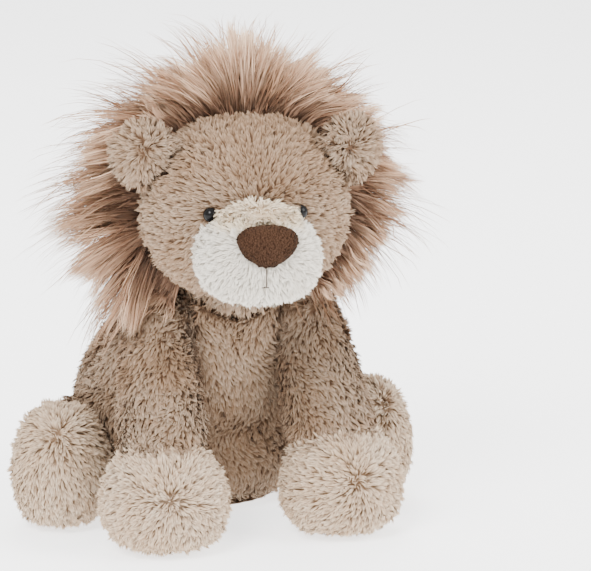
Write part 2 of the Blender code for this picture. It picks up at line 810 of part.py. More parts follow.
def make_ear(side, name):
    """The outer cup on its ball root, and the lining laid in the cup."""
    root, out, across, facing = ear_frame(side)
    hinge = hinge_empty(f"ear_hinge_{name}", root, head)
    middle = out * EAR_STAND + facing * EAR_AHEAD
    form = loft(
        f"ear_form_{name}",
        cup_rings(EAR_SHARES, middle, EAR_WIDTH, EAR_HEIGHT, EAR_THICKNESS, out, across, facing),
    )
    lining_form = loft(
        f"ear_lining_form_{name}",
        cup_rings(
            LINING_SHARES, middle, EAR_WIDTH, EAR_HEIGHT, EAR_THICKNESS, out, across, facing
        ),
    )
    head_far = clear_cutter(f"head_far_{name}", head_form, head, EAR_CLEARANCE)
    lining_room = clear_cutter(f"ear_lining_room_{name}", lining_form, hinge, SEAM_GAP)
    ball = ball_cutter(f"ear_root_{name}", EAR_ROOT_RADIUS, SMALL_BALL_FACETS, hinge)
    ear = soft_piece(f"ear_cover_{name}", form, hinge, beige_fur)
    cut(ear, head_far)
    combine(ear, "UNION", ball)
    cut(ear, lining_room)
    lining = soft_piece(f"ear_lining_{name}", lining_form, hinge, beige_fur)
    cut(lining, head_far)
    socket = socket_cutter(f"ear_socket_{name}", EAR_ROOT_RADIUS, SMALL_BALL_FACETS, hinge)
    solid_rings = cup_rings(
        EAR_SHARES[:-1], middle, EAR_WIDTH, EAR_HEIGHT, EAR_THICKNESS, out, across, facing
    )
    solid_form = loft(f"ear_solid_{name}", solid_rings)
    clear = clear_cutter(f"ear_clear_{name}", solid_form, hinge, MANE_EAR_CLEARANCE)
    return socket, clear


def mane_rings():
    """Rings from front to back whose radius swings between the tips of the locks and the dips."""
    rings = []
    facets = 2 * MANE_LOCKS
    middle = head_middle + Vector((0.0, -MANE_FRONT, MANE_UP))
    for way, size, lock in MANE_SHARES:
        points = []
        for i in range(facets):
            angle = math.tau * i / facets + math.pi / 2.0
            swing = 1.0 + (-lock if i % 2 else lock)
            x = math.cos(angle) * size * swing * MANE_WIDTH / 2.0
            z = math.sin(angle) * size * swing * MANE_HEIGHT / 2.0
            points.append(middle + Vector((x, way * MANE_DEPTH, z)) / fullness(facets))
        rings.append(points)
    return rings


def make_mane(ear_clears):
    """Two panels of long fur sewn together over the crown, each cut round the ear in front of it."""
    form = loft("mane_form", mane_rings())
    for name, side in (("left", 1.0), ("right", -1.0)):
        low = head_middle + Vector((side * SEAM_GAP / 2.0, -OVERRUN - MANE_DEPTH, -MANE_HEIGHT))
        high = head_middle + Vector((-side * MANE_WIDTH, OVERRUN + MANE_DEPTH, MANE_HEIGHT))
        corners = [sorted(pair) for pair in zip(low, high)]
        low = Vector(pair[0] for pair in corners)
        high = Vector(pair[1] for pair in corners)
        other_half = box_cutter(f"mane_half_{name}", low, high, head)
        panel = soft_piece(f"mane_panel_{name}", form.copy(), head, long_fur)
        cut(panel, other_half, head_clear, neck_far, torso_far, *ear_clears, *shoulder_fars)


def make_tail():
    """A thin tail from its ball root down to the floor, with a tuft of long fur on its end."""
    rings = []
    floor_drop = TAIL_UP - TAIL_RADIUS - SEAM_GAP
    places = []
    for back, side, fall, _ in TAIL_SHARES:
        places.append(Vector((side * TAIL_SIDE, back * TAIL_BACK, -fall * floor_drop)))
    for i, (_, _, _, radius) in enumerate(TAIL_SHARES):
        way = (places[min(i + 1, len(places) - 1)] - places[max(i - 1, 0)]).normalized()
        across = way.cross(Vector((0.0, 0.0, 1.0))).normalized()
        along = across.cross(way)
        size = radius * TAIL_RADIUS
        rings.append(ring(places[i], across * size, along * size, SMALL_FACETS))
    form = loft("tail_form", rings)
    clear = clear_cutter("tail_clear", form, tail_hinge, SEAM_GAP)
    root = ball_cutter("tail_root", TAIL_ROOT_RADIUS, SMALL_BALL_FACETS, tail_hinge)
    tail = soft_piece("tail_cover", form, tail_hinge, beige_fur)
    combine(tail, "UNION", root)

    way = (places[-1] - places[-2]).normalized()
    across = way.cross(Vector((0.0, 0.0, 1.0))).normalized()
    along = across.cross(way)
    tuft_rings = []
    for length, radius in TUFT_SHARES:
        centre = places[-1] + way * length * TUFT_LENGTH
        centre.z += (TUFT_RADIUS - TAIL_RADIUS) * radius
        size = radius * TUFT_RADIUS
        tuft_rings.append(ring(centre, across * size, along * size, SMALL_FACETS))
    tuft = soft_piece("tail_tuft", loft("tuft_form", tuft_rings), tail_hinge, long_fur)
    cut(tuft, clear)


clear_scene()
lion = new_collection("plush_lion")
cutters = new_collection("cutters")

beige_fur = material("beige fur", (0.48, 0.38, 0.30), 0.9)
pale_fur = material("pale fur", (0.56, 0.47, 0.38), 0.9)
white_fur = material("white fur", (0.84, 0.80, 0.75), 0.9)
cream_fur = material("cream fur", (0.66, 0.56, 0.45), 0.9)
long_fur = material("long tan fur", (0.36, 0.20, 0.125), 0.8)
brown_velour = material("brown velour", (0.14, 0.062, 0.032), 0.85)
white_fibre = material("white fibre", (0.86, 0.86, 0.84), 1.0)
white_cotton = material("white cotton", (0.80, 0.79, 0.75), 0.95)
black_plastic = material("black plastic", (0.01, 0.009, 0.008), 0.08)
white_plastic = material("white plastic", (0.75, 0.75, 0.73), 0.4)

neck_turn = hinge_empty("neck_turn", Vector((0.0, -NECK_FORWARD, NECK_UP)))
head = hinge_empty("head_nod", Vector(), neck_turn, -HEAD_TURNED)
shoulders = {}
hips = {}
for side, name in ((1.0, "left"), (-1.0, "right")):
    place = Vector((side * SHOULDER_APART / 2.0, -SHOULDER_FORWARD, SHOULDER_UP))
    shoulders[side] = hinge_empty(f"shoulder_{name}", place)
    place = Vector((side * HIP_APART / 2.0, HIP_BACK, HIP_UP))
    hips[side] = hinge_empty(f"hip_{name}", place)

far = Vector((TORSO_HEIGHT, TORSO_HEIGHT, 0.0)) * 2.0
deep = Vector((0.0, 0.0, -OVERRUN))
floor = box_cutter("floor", deep - far, far)
floor_cloth = box_cutter("floor_cloth", deep - far, far + Vector((0.0, 0.0, CLOTH)))
floor_filling = box_cutter("floor_filling", deep - far, far + Vector((0.0, 0.0, CLOTH + SEAM_GAP)))
under_cover = box_cutter("under_cover", deep - far, far + Vector((0.0, 0.0, SEAT_PANEL + SEAM_GAP)))

torso_form = loft("torso_form", torso_rings())
torso_clear = clear_cutter("torso_clear", torso_form, None, SEAM_GAP)
torso_clear_of_lining = clear_cutter("torso_clear_of_lining", torso_form, None, SEAM_GAP + CLOTH)
torso_clear_of_filling = clear_cutter(
    "torso_clear_of_filling", torso_form, None, 2.0 * SEAM_GAP + CLOTH
)
torso_far = clear_cutter("torso_far", torso_form, None, MANE_BODY_CLEARANCE)
neck_far = ball_cutter("neck_far", NECK_RADIUS + MANE_NECK_CLEARANCE, NECK_FACETS, neck_turn)

torso_skin = skin_of(torso_clear)
tail_seat, _ = on_skin(torso_skin, Vector((0.0, 0.0, TAIL_UP)), Vector((0.0, 1.0, 0.0)))
tail_hinge = hinge_empty("tail_hinge", tail_seat - Vector((0.0, TAIL_ROOT_SINK, 0.0)))

head_middle = Vector((HEAD_SIDE, -HEAD_FORWARD, HEAD_UP))
head_form = loft("head_form", head_rings())
head_clear = clear_cutter("head_clear", head_form, head, SEAM_GAP)
head_skin = skin_of(clear_cutter("head_guide", head_form, head, 0.0))
muzzle_form = loft("muzzle_form", muzzle_rings())
muzzle_clear = clear_cutter("muzzle_clear", muzzle_form, head, SEAM_GAP)
bridge_form = loft("bridge_form", bridge_rings())
bridge_clear = clear_cutter("bridge_clear", bridge_form, head, SEAM_GAP)
nose_form = loft("nose_form", nose_rings())

neck_socket = socket_cutter("neck_socket", NECK_RADIUS, NECK_FACETS, neck_turn)
tail_socket = socket_cutter("tail_socket", TAIL_ROOT_RADIUS, SMALL_BALL_FACETS, tail_hinge)
body_sockets = [neck_socket, tail_socket]
shoulder_fars = []
for side, name in ((1.0, "left"), (-1.0, "right")):
    for joint, radius in ((shoulders[side], SHOULDER_RADIUS), (hips[side], HIP_RADIUS)):
        body_sockets.append(socket_cutter(f"{joint.name}_socket", radius, BALL_FACETS, joint))
    radius = SHOULDER_RADIUS + MANE_SHOULDER_CLEARANCE
    shoulder_fars.append(ball_cutter(f"shoulder_far_{name}", radius, BALL_FACETS, shoulders[side]))

make_torso(body_sockets)
neck_ball = ball_mesh("neck_cover", NECK_RADIUS, NECK_FACETS)
piece("neck_cover", neck_ball, neck_turn, beige_fur)
for side, name in ((1.0, "left"), (-1.0, "right")):
    make_front_leg(side, name)
    make_hind_leg(side, name)

head_holes = []
head_rooms = []
eye_clears = []
ear_clears = []
for side, name in ((1.0, "left"), (-1.0, "right")):
    hole, room, eye_clear = make_eye(side, name)
    eye_clears.append(eye_clear)
    socket, clear = make_ear(side, name)
    head_holes += [hole, socket]
    head_rooms += [room, socket]
    ear_clears.append(clear)
head_cover = soft_piece("head_cover", head_form, head, beige_fur)
cut(head_cover, hollow_cutter("head_hollow", head_form, head), neck_socket, *head_holes)
head_stuffing = filling_piece("head_stuffing", head_form, head, white_fibre)
cut(head_stuffing, neck_socket, *head_rooms)
make_face(eye_clears)
make_mane(ear_clears)
make_tail()

bpy.context.view_layer.update()
for obj in bpy.data.objects:
    if obj.type == "EMPTY":
        print("joint", obj.name, [round(value, 5) for value in obj.matrix_world.translation])
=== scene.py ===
"""The looks of a sitting plush lion with a long-haired mane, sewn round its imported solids."""

import json
import math

import bmesh
import bpy
import numpy as np
from mathutils import Matrix, Vector
from mathutils.bvhtree import BVHTree
from mathutils.kdtree import KDTree

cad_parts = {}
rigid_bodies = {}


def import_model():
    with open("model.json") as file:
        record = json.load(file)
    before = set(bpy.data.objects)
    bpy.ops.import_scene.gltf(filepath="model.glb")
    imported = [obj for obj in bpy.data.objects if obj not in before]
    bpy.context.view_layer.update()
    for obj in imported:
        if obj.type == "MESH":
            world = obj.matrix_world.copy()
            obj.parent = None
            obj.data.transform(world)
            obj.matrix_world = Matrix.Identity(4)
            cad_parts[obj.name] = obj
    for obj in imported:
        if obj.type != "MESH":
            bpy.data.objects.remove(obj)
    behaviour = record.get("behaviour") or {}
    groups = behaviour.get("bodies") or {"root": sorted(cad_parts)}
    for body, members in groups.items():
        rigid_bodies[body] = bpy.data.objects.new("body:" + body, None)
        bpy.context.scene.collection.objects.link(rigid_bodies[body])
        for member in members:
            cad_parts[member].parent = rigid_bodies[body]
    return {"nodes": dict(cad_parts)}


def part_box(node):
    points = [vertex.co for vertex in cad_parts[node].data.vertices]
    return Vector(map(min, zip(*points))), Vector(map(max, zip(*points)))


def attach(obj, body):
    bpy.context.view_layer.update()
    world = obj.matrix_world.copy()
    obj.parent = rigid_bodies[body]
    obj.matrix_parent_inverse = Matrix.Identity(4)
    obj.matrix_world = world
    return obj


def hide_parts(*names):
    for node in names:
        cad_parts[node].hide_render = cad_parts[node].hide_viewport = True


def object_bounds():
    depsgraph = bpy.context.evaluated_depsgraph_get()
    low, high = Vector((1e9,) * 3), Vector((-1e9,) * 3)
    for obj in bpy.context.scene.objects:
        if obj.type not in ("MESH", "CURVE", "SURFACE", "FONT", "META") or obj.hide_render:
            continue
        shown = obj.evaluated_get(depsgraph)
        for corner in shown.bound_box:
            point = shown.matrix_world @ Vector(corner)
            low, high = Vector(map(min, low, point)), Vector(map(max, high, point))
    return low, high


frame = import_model()
cad_low, cad_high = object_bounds()

# Studio: a broad white floor of paper in a bright white room, lit by three large soft boxes. The
# camera looks down a little from the lion's right, from three metres, as in the photograph.
VIEW_FROM = (-0.94396, -2.83016, 0.83497)
VIEW_TO = (0.05778, -0.07790, 0.18565)
LENS_MM = 231.3
SENSOR_MM = 36.0
NEAR_CLIP = 0.05
FLOOR_HALF = 7.0
FLOOR_TILES = 28
FLOOR_DROP = 0.0006
WHITE = (1.0, 1.0, 1.0)
PAPER_GLOW = 1.9
ROOM_GLOW = 1.5
SOFT_BOXES = (  # name, place, aimed at, size, watts
    ("soft_box_left", (-1.7, -1.9, 2.3), (0.0, -0.1, 0.2), 1.3, 146.0),
    ("soft_box_right", (1.8, -1.9, 1.6), (0.0, -0.1, 0.2), 1.6, 80.0),
    ("soft_box_back", (0.4, 1.3, 2.2), (0.0, 0.0, 0.25), 1.2, 45.0),
)


def placed(name, data):
    """A new object in the scene from its data."""
    obj = bpy.data.objects.new(name, data)
    bpy.context.scene.collection.objects.link(obj)
    return obj


def aimed(name, data, place, aim):
    """A camera or lamp that looks from its place at its aim."""
    obj = placed(name, data)
    obj.location = place
    obj.rotation_euler = (Vector(aim) - Vector(place)).to_track_quat("-Z", "Y").to_euler()
    return obj


def mesh_from(name, bm):
    """The mesh that a bmesh holds. The bmesh is used up."""
    mesh = bpy.data.meshes.new(name)
    bm.to_mesh(mesh)
    bm.free()
    return mesh


def set_up(node, **settings):
    """Sets a node's own sockets, named with _ for their spaces."""
    for socket, value in settings.items():
        node.inputs[socket.replace("_", " ")].default_value = value
    return node


def new_node(nodes, kind, **settings):
    return set_up(nodes.new(f"ShaderNode{kind}"), **settings)


def new_finish(name, gloss, **settings):
    """A finish, its nodes, its links and its shader."""
    made = bpy.data.materials.new(name)
    made.use_nodes = True
    nodes, links = made.node_tree.nodes, made.node_tree.links
    shader = set_up(nodes["Principled BSDF"], Specular_IOR_Level=gloss, **settings)
    return made, nodes, links, shader


def colour_ramp(nodes, *stops):
    """A ramp through colours at their places, lowest place first."""
    ramp = new_node(nodes, "ValToRGB")
    elements = ramp.color_ramp.elements
    for i, (place, colour) in enumerate(stops):
        stop = elements[i] if i < 2 else elements.new(place)
        stop.position, stop.color = place, (*colour, 1.0)
    return ramp


def rough_along(nodes, links, value, shader, start, end):
    """Roughness that goes from start to end as a value goes from 0 to 1."""
    spread = new_node(nodes, "MapRange", To_Min=start, To_Max=end)
    links.new(value, spread.inputs["Value"])
    links.new(spread.outputs["Result"], shader.inputs["Roughness"])


def grained(name, scale, dark, light, gloss, rough, **settings):
    """A finish with a fine grain between two colours. Two values of rough follow the grain."""
    made, nodes, links, shader = new_finish(name, gloss, **settings)
    grain = new_node(nodes, "TexNoise", Scale=scale)
    tone = colour_ramp(nodes, (0.0, dark), (1.0, light))
    links.new(grain.outputs["Fac"], tone.inputs["Fac"])
    links.new(tone.outputs["Color"], shader.inputs["Base Color"])
    if isinstance(rough, tuple):
        rough_along(nodes, links, grain.outputs["Fac"], shader, *rough)
    else:
        set_up(shader, Roughness=rough)
    return made


for thing in list(bpy.data.objects):
    if thing.type in ("CAMERA", "LIGHT") or thing.name == "Cube":
        bpy.data.objects.remove(thing)
camera_data = bpy.data.cameras.new("camera")
camera_data.lens = LENS_MM
camera_data.sensor_width = SENSOR_MM
camera_data.clip_start = NEAR_CLIP
bpy.context.scene.camera = aimed("camera", camera_data, VIEW_FROM, VIEW_TO)

bm = bmesh.new()
bmesh.ops.create_grid(bm, x_segments=FLOOR_TILES, y_segments=FLOOR_TILES, size=FLOOR_HALF)
bmesh.ops.translate(bm, verts=bm.verts, vec=(0.0, 0.0, -FLOOR_DROP))
paper_floor = placed("paper_floor", mesh_from("paper_floor", bm))
paper = grained(
    "white paper", 90.0, (0.90, 0.90, 0.90), (0.93, 0.93, 0.93), gloss=0.1, rough=0.9,
    Emission_Color=(*WHITE, 1.0), Emission_Strength=PAPER_GLOW,
)
paper_floor.data.materials.append(paper)

room = bpy.data.worlds.new("white room")
room.use_nodes = True
set_up(room.node_tree.nodes["Background"], Color=(*WHITE, 1.0), Strength=ROOM_GLOW)
bpy.context.scene.world = room
for name, place, aim, size, watts in SOFT_BOXES:
    light = bpy.data.lights.new(name, "AREA")
    light.size = size
    light.energy = watts
    aimed(name, light, place, aim)

# Torso: a pear-shaped stuffed bag of beige plush cloth, weighted with beans at the seat. The
# pile is about 8 mm long, brushed down, and falls in small clumps with paler tips. The cloth
# backing lies under the pile, and legs, neck and tail are sewn into it.
TORSO_NODES = ["torso_cover", "torso_stuffing", "seat_bean_bag"]
TORSO_SPREAD = 1.10e-6
TORSO_SPLIT = -0.014
SEAT_HEART = np.array([0.0, -0.03, 0.0])
BELLY_PATCH = np.array([0.0, -0.145, 0.135])
BELLY_PATCH_SIZE = 0.026
SHOULDER = np.array([0.061, -0.092, 0.166])
HIP = np.array([0.094, 0.004, 0.047])
NECK = np.array([0.0, -0.095, 0.212])
TAIL_ROOT = np.array([0.0, 0.08742, 0.036])
SHOULDER_BALL = 0.029
HIP_BALL = 0.043
NECK_BALL = 0.043
TAIL_BALL = 0.014
MIRROR = np.array([-1.0, 1.0, 1.0])
BODY_BALLS = (
    (SHOULDER, SHOULDER_BALL), (SHOULDER * MIRROR, SHOULDER_BALL),
    (HIP, HIP_BALL), (HIP * MIRROR, HIP_BALL), (NECK, NECK_BALL), (TAIL_ROOT, TAIL_BALL),
)
SOCKET_ROOM = 0.0009
SOCKET_NEAR = 0.002
SOCKET_FADE = 0.003
CLOTH_OFF_FLOOR = 0.0012
CLOTH_PATCH = 0.012
CLOTH_GRAIN = 0.004

PILE_DEPTH = 0.0052
PILE_LENGTH = 0.0082
PILE_STAND = 0.32
BLADE_WIDTH = 0.0009
BLADE_SHARES = (0.75, 1.0)
BLADE_MAP = (0.02, 0.52, 0.98)
BLADE_LENGTHS = (0.85, 1.08)
BLADE_WIDTHS = (0.7, 1.25)
BLADE_SWAY = 0.07
BLADE_ROLL = 0.45
BLADE_BOW = 0.16
LEAST_LEAN = 0.20
TIP_OFF_FLOOR = 0.0004
BLADE_OFF_FLOOR = 0.0003
CLUMP_SIZE = 0.0022
CLUMP_LENGTHS = (0.78, 1.14)
CLUMP_SWAY = 0.20
SWIRL_PATCH = 0.026
TONE_PATCH = 0.022
DEEP_SHARE = 0.45


def unit(vectors):
    return vectors / np.maximum(np.linalg.norm(vectors, axis=-1, keepdims=True), 1e-9)


def clipped(values):
    return np.clip(values, 0.0, 1.0)


def patchy(places, size, seed):
    """Smooth noise from 0 to 1 over places, in patches about size across."""
    cell = places / size
    low = np.floor(cell).astype(np.int64)
    part = cell - low
    part = part * part * (3.0 - 2.0 * part)
    total = np.zeros(len(places))
    for corner in np.ndindex(2, 2, 2):
        key = (low + corner) @ np.array([73856093, 19349663, 83492791]) + seed * 6151
        key = ((key ^ (key >> 11)) * 668265263) & 0xFFFFFFFF
        key = ((key ^ (key >> 15)) * 374761393) & 0xFFFFFFFF
        value = ((key >> 9) & 0xFFFF) / 65535.0
        total += value * np.prod(np.where(corner, part, 1.0 - part), axis=1)
    return total


def swirl(places, size, seed):
    """Smooth directions that turn from patch to patch, as pressed pile lies."""
    return np.stack([patchy(places, size, seed + i) for i in range(3)], axis=1) * 2.0 - 1.0


def ball_share(places, balls, rim):
    """0 in or on a joint's ball, rising to 1 at a rim's width outside it."""
    share = np.ones(len(places))
    for centre, radius in balls:
        away = np.linalg.norm(places - centre, axis=1) - radius
        share = np.minimum(share, clipped(away / rim))
    return share


def solid_trees(*nodes):
    """A tree of triangles for each solid, to find what lies in it or near it."""
    trees = []
    for node in nodes:
        mesh = frame["nodes"][node].data
        mesh.calc_loop_triangles()
        trees.append(BVHTree.FromPolygons(
            [vertex.co for vertex in mesh.vertices],
            [tuple(triangle.vertices) for triangle in mesh.loop_triangles],
        ))
    return trees


def nearest_away(trees, spot):
    return min(tree.find_nearest(Vector(spot))[3] for tree in trees)


def mesh_rows(items, field, kind):
    """A field of three values from a mesh's vertices or triangles, as rows."""
    values = np.empty(len(items) * 3, kind)
    items.foreach_get(field, values)
    return values.reshape(-1, 3)


def cloth_skin(nodes, grain, passes, sink, balls=(), seats=()):
    """One smooth closed skin over solids: points, triangles, normals. It is drawn in by the depth
    of the pile, but on a joint's ball only where that stands clear of the seats it turns in."""
    bm = bmesh.new()
    for node in nodes:
        bm.from_mesh(frame["nodes"][node].data)
    holder = placed("joined", mesh_from("joined", bm))
    cells = holder.modifiers.new("cells", "REMESH")
    cells.mode = "VOXEL"
    cells.voxel_size = grain
    softer = holder.modifiers.new("softer", "SMOOTH")
    softer.iterations = passes
    graph = bpy.context.evaluated_depsgraph_get()
    mesh = bpy.data.meshes.new_from_object(holder.evaluated_get(graph))
    bpy.data.objects.remove(holder)
    mesh.calc_loop_triangles()
    points = mesh_rows(mesh.vertices, "co", np.float32).astype(float)
    normals = mesh_rows(mesh.vertices, "normal", np.float32).astype(float)
    faces = mesh_rows(mesh.loop_triangles, "vertices", np.int32)
    bpy.data.meshes.remove(mesh)
    share = ball_share(points, balls, sink)
    trees = solid_trees(*seats)
    for i in np.flatnonzero(share < 1.0) if trees else ():
        away = nearest_away(trees, points[i])
        share[i] = max(share[i], clipped((away - SOCKET_NEAR) / SOCKET_FADE))
    points = points - normals * (SOCKET_ROOM + (sink - SOCKET_ROOM) * share)[:, None]
    points[:, 2] = np.maximum(points[:, 2], CLOTH_OFF_FLOOR)
    return {"points": points, "faces": faces, "normals": normals}


def part_of_skin(skin, keep):
    """The triangles of a skin that keep names, with their own points."""
    faces = skin["faces"][keep]
    used, place = np.unique(faces, return_inverse=True)
    return {
        "points": skin["points"][used],
        "faces": place.reshape(-1, 3).astype(np.int32),
        "normals": skin["normals"][used],
    }


def skin_sheet(skin, seed, lift=0.04):
    """The backing cloth: points, no quads, triangles, place on the finish's map, normals."""
    tint = patchy(skin["points"], CLOTH_PATCH, seed)
    # The cloth takes the root end of its finish's colours, which is dark partly as painted shade.
    along = lift + 0.10 * patchy(skin["points"], CLOTH_GRAIN, seed + 1)
    uv = np.stack([tint, along], axis=1)
    return skin["points"], np.zeros((0, 4), np.int32), skin["faces"], uv, skin["normals"]


def corners_of(skin):
    """Where each corner of a skin's triangles is: three rows of places."""
    return skin["points"][skin["faces"]].transpose(1, 0, 2)


def areas_of(skin):
    a, b, c = corners_of(skin)
    return np.linalg.norm(np.cross(b - a, c - a), axis=1) / 2.0


def planted(rng, skin, weights, count):
    """Roots strewn over a skin's triangles by their weights, and which way is up at each."""
    a, b, c = corners_of(skin)
    face = rng.choice(len(weights), count, p=weights / weights.sum())
    s, t = rng.random((2, count))
    s, t = np.where(s + t > 1.0, 1.0 - s, s), np.where(s + t > 1.0, 1.0 - t, t)
    one, two, three = skin["normals"][skin["faces"][face]].transpose(1, 0, 2)
    roots = a[face] + (b - a)[face] * s[:, None] + (c - a)[face] * t[:, None]
    return roots, unit(one * (1 - s - t)[:, None] + two * s[:, None] + three * t[:, None])


def nearest_heads(roots, heads):
    """Which of the heads stands nearest to each root."""
    tree = KDTree(len(heads))
    for i, head in enumerate(heads):
        tree.insert(roots[head], i)
    tree.balance()
    return np.array([tree.find(root)[1] for root in roots])


def strips(rows, sides, widths, shades, along, tone):
    """Narrow strips through rows of places, each tapering to its tip in the last row: points,
    quads, triangles, places on the finish's map and shading normals."""
    count, end = len(tone), 2 * len(sides)
    points, shade = np.empty((2, count, end + 1, 3))
    uv = np.empty((count, end + 1, 2))
    for i, (row, side, width, face_up) in enumerate(zip(rows, sides, widths, shades)):
        points[:, 2 * i] = row - side * width
        points[:, 2 * i + 1] = row + side * width
        shade[:, 2 * i: 2 * i + 2] = face_up[:, None]
        uv[:, 2 * i: 2 * i + 2, 1] = along[i]
    points[:, end], shade[:, end], uv[:, end, 1] = rows[-1], shades[-1], along[-1]
    points[:, :, 2] = np.maximum(points[:, :, 2], BLADE_OFF_FLOOR)
    uv[:, :, 0] = np.clip(tone, 0.01, 0.99)[:, None]
    first = (np.arange(count) * (end + 1))[:, None, None]
    strip = np.array([[k, k + 1, k + 3, k + 2] for k in range(0, end - 2, 2)])
    quads = (first + strip).reshape(-1, 4)
    tris = (first[:, 0] + np.array([[end - 2, end - 1, end]])).reshape(-1, 3)
    return points.reshape(-1, 3), quads, tris, uv.reshape(-1, 2), shade.reshape(-1, 3)


def pile(
    skin, seed, spread, way, length=PILE_LENGTH, width=BLADE_WIDTH, rise=PILE_STAND,
    clump=CLUMP_SIZE, pull=0.55, keep=None, turn=1.1, warm=None,
):
    """Pile in clumps, each blade narrow and bent the way it is brushed. Spread is the cloth for
    one blade, rise how far blades stand up, pull how far a clump's tips meet, turn how far the
    brushing strays. Keep says where pile stands, and warm where it is deeper in tone."""
    rng = np.random.default_rng(seed)
    areas = areas_of(skin)
    roots, ups = planted(rng, skin, areas, int(areas.sum() / spread))
    if keep is not None:
        chosen = rng.random(len(roots)) < keep(roots, ups)
        roots, ups = roots[chosen], ups[chosen]
    count = len(roots)
    flow = way(roots, ups) + swirl(roots, SWIRL_PATCH, seed + 50) * turn
    flow = flow - ups * (flow * ups).sum(1)[:, None]
    flow = unit(flow) * clipped(np.linalg.norm(flow, axis=1))[:, None]

    heads = rng.choice(count, max(1, int(count * spread / clump**2)), replace=False)
    mine = nearest_heads(roots, heads)
    sway = rng.normal(0.0, CLUMP_SWAY, (len(heads), 3))[mine]
    long = rng.uniform(*CLUMP_LENGTHS, len(heads))[mine]
    stand = (rise(roots, ups) if callable(rise) else np.full(count, rise))[:, None]
    long = length * long * rng.uniform(*BLADE_LENGTHS, count)
    sway = sway + rng.normal(0.0, BLADE_SWAY, (count, 3))
    lean = unit(flow * (1.0 - stand) + ups * stand + sway)
    low = (lean * ups).sum(1)[:, None]
    lean = unit(lean + ups * np.maximum(LEAST_LEAN - low, 0.0))
    tips = roots + lean * long[:, None]
    gathered = tips[heads][mine]
    tips += (gathered - tips) * pull * rng.uniform(0.6, 1.0, (count, 1))
    tips[:, 2] = np.maximum(tips[:, 2], TIP_OFF_FLOOR)
    middles = (roots + tips) / 2.0 + ups * (long * BLADE_BOW)[:, None]

    run = unit(tips - roots)
    side = unit(np.cross(tips - roots, ups))
    lift = np.cross(side, run)
    roll = rng.normal(0.0, BLADE_ROLL, count)[:, None]
    side = side * np.cos(roll) + lift * np.sin(roll)
    shade = unit(ups * 0.5 + np.cross(side, run) * 0.5)
    side = side * (width * rng.uniform(*BLADE_WIDTHS, count)[:, None] / 2.0)
    tone = 0.40 * patchy(roots, TONE_PATCH, seed)
    tone = tone + 0.32 * rng.random(len(heads))[mine] + 0.28 * rng.random(count)
    if warm is not None:
        tone = tone * (1.0 - warm(roots))
    rows = (roots, middles, tips)
    return strips(rows, (side, side), BLADE_SHARES, (shade, shade), BLADE_MAP, tone)


def furred(skin, seed, *lay, **more):
    """The backing cloth and the pile on it."""
    return [skin_sheet(skin, seed), pile(skin, seed, *lay, **more)]


def joined_mesh(name, sheets):
    """One mesh from sheets of points, quads, triangles, map places and shading normals."""
    shifts = np.cumsum([0] + [len(sheet[0]) for sheet in sheets])
    places, uvs, shades = (np.concatenate([sheet[i] for sheet in sheets]) for i in (0, 3, 4))
    fours, threes = (
        np.concatenate([sheet[i] + shift for sheet, shift in zip(sheets, shifts)]) for i in (1, 2)
    )
    corners = np.concatenate([fours.ravel(), threes.ravel()]).astype(np.int32)
    starts = [np.arange(len(fours)) * 4, fours.size + np.arange(len(threes)) * 3]
    starts = np.concatenate(starts).astype(np.int32)
    mesh = bpy.data.meshes.new(name)
    mesh.vertices.add(len(places))
    mesh.vertices.foreach_set("co", places.astype(np.float32).ravel())
    mesh.loops.add(len(corners))
    mesh.loops.foreach_set("vertex_index", corners)
    mesh.polygons.add(len(starts))
    mesh.polygons.foreach_set("loop_start", starts)
    layer = mesh.uv_layers.new(name="OFBake")
    layer.data.foreach_set("uv", uvs[corners].astype(np.float32).ravel())
    mesh.update(calc_edges=True)
    mesh.shade_smooth()
    mesh.normals_split_custom_set_from_vertices(shades.tolist())
    return mesh


def plush(name, slot, root, low, high, tip, warm, deep=None):
    """Pile whose colour runs from the cloth to the tips, on tufts that lean deep, warm or pale. The
    dark cloth and roots are partly painted shade deep in the pile. Gives the finish and the
    record's slot for it."""
    made, nodes, links, shader = new_finish(
        name, 0.16, Sheen_Weight=0.06, Sheen_Roughness=0.4, Sheen_Tint=(0.95, 0.82, 0.68, 1.0)
    )
    place = new_node(nodes, "UVMap")
    place.uv_map = "OFBake"
    apart = new_node(nodes, "SeparateXYZ")
    links.new(place.outputs["UV"], apart.inputs[0])
    # Dark at the cloth and roots, partly painted shade deep in the pile; pale at the tips.
    along = colour_ramp(nodes, (0.0, root), (0.34, low), (0.72, high), (1.0, tip))
    deep = deep or [part * DEEP_SHARE for part in warm]
    tone = colour_ramp(nodes, (0.0, deep), (0.20, warm), (0.88, WHITE))
    links.new(apart.outputs["Y"], along.inputs["Fac"])
    links.new(apart.outputs["X"], tone.inputs["Fac"])
    blend = new_node(nodes, "Mix", Factor=1.0)
    blend.data_type = "RGBA"
    blend.blend_type = "MULTIPLY"
    links.new(along.outputs["Color"], blend.inputs["A"])
    links.new(tone.outputs["Color"], blend.inputs["B"])
    links.new(blend.outputs["Result"], shader.inputs["Base Color"])
    rough_along(nodes, links, apart.outputs["Y"], shader, 0.95, 0.72)
    return made, slot


def soft_piece(name, sheets, finish_slot, body, stands_for):
    """A stuffed plush piece that rides on its body in place of its solids."""
    finish, slot = finish_slot
    obj = placed(name, joined_mesh(name, sheets))
    obj.data.materials.append(finish)
    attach(obj, body)
    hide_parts(*stands_for)


beige_plush = plush(
    "beige plush", "beige_fur",
    root=(0.125, 0.073, 0.044), low=(0.265, 0.183, 0.121), high=(0.375, 0.282, 0.201),
    tip=(0.462, 0.358, 0.264), warm=(0.72, 0.61, 0.52),
)


def torso_way(places, ups):
    """Brushed down, and outward over the seat."""
    out = places - SEAT_HEART
    out[:, 2] = 0.0
    low = clipped((0.020 - places[:, 2]) / 0.012)[:, None]
    down = np.array([0.0, 0.0, -1.0])
    return unit(down * (1.0 - 0.6 * low) + unit(out) * (0.25 + 1.2 * low))


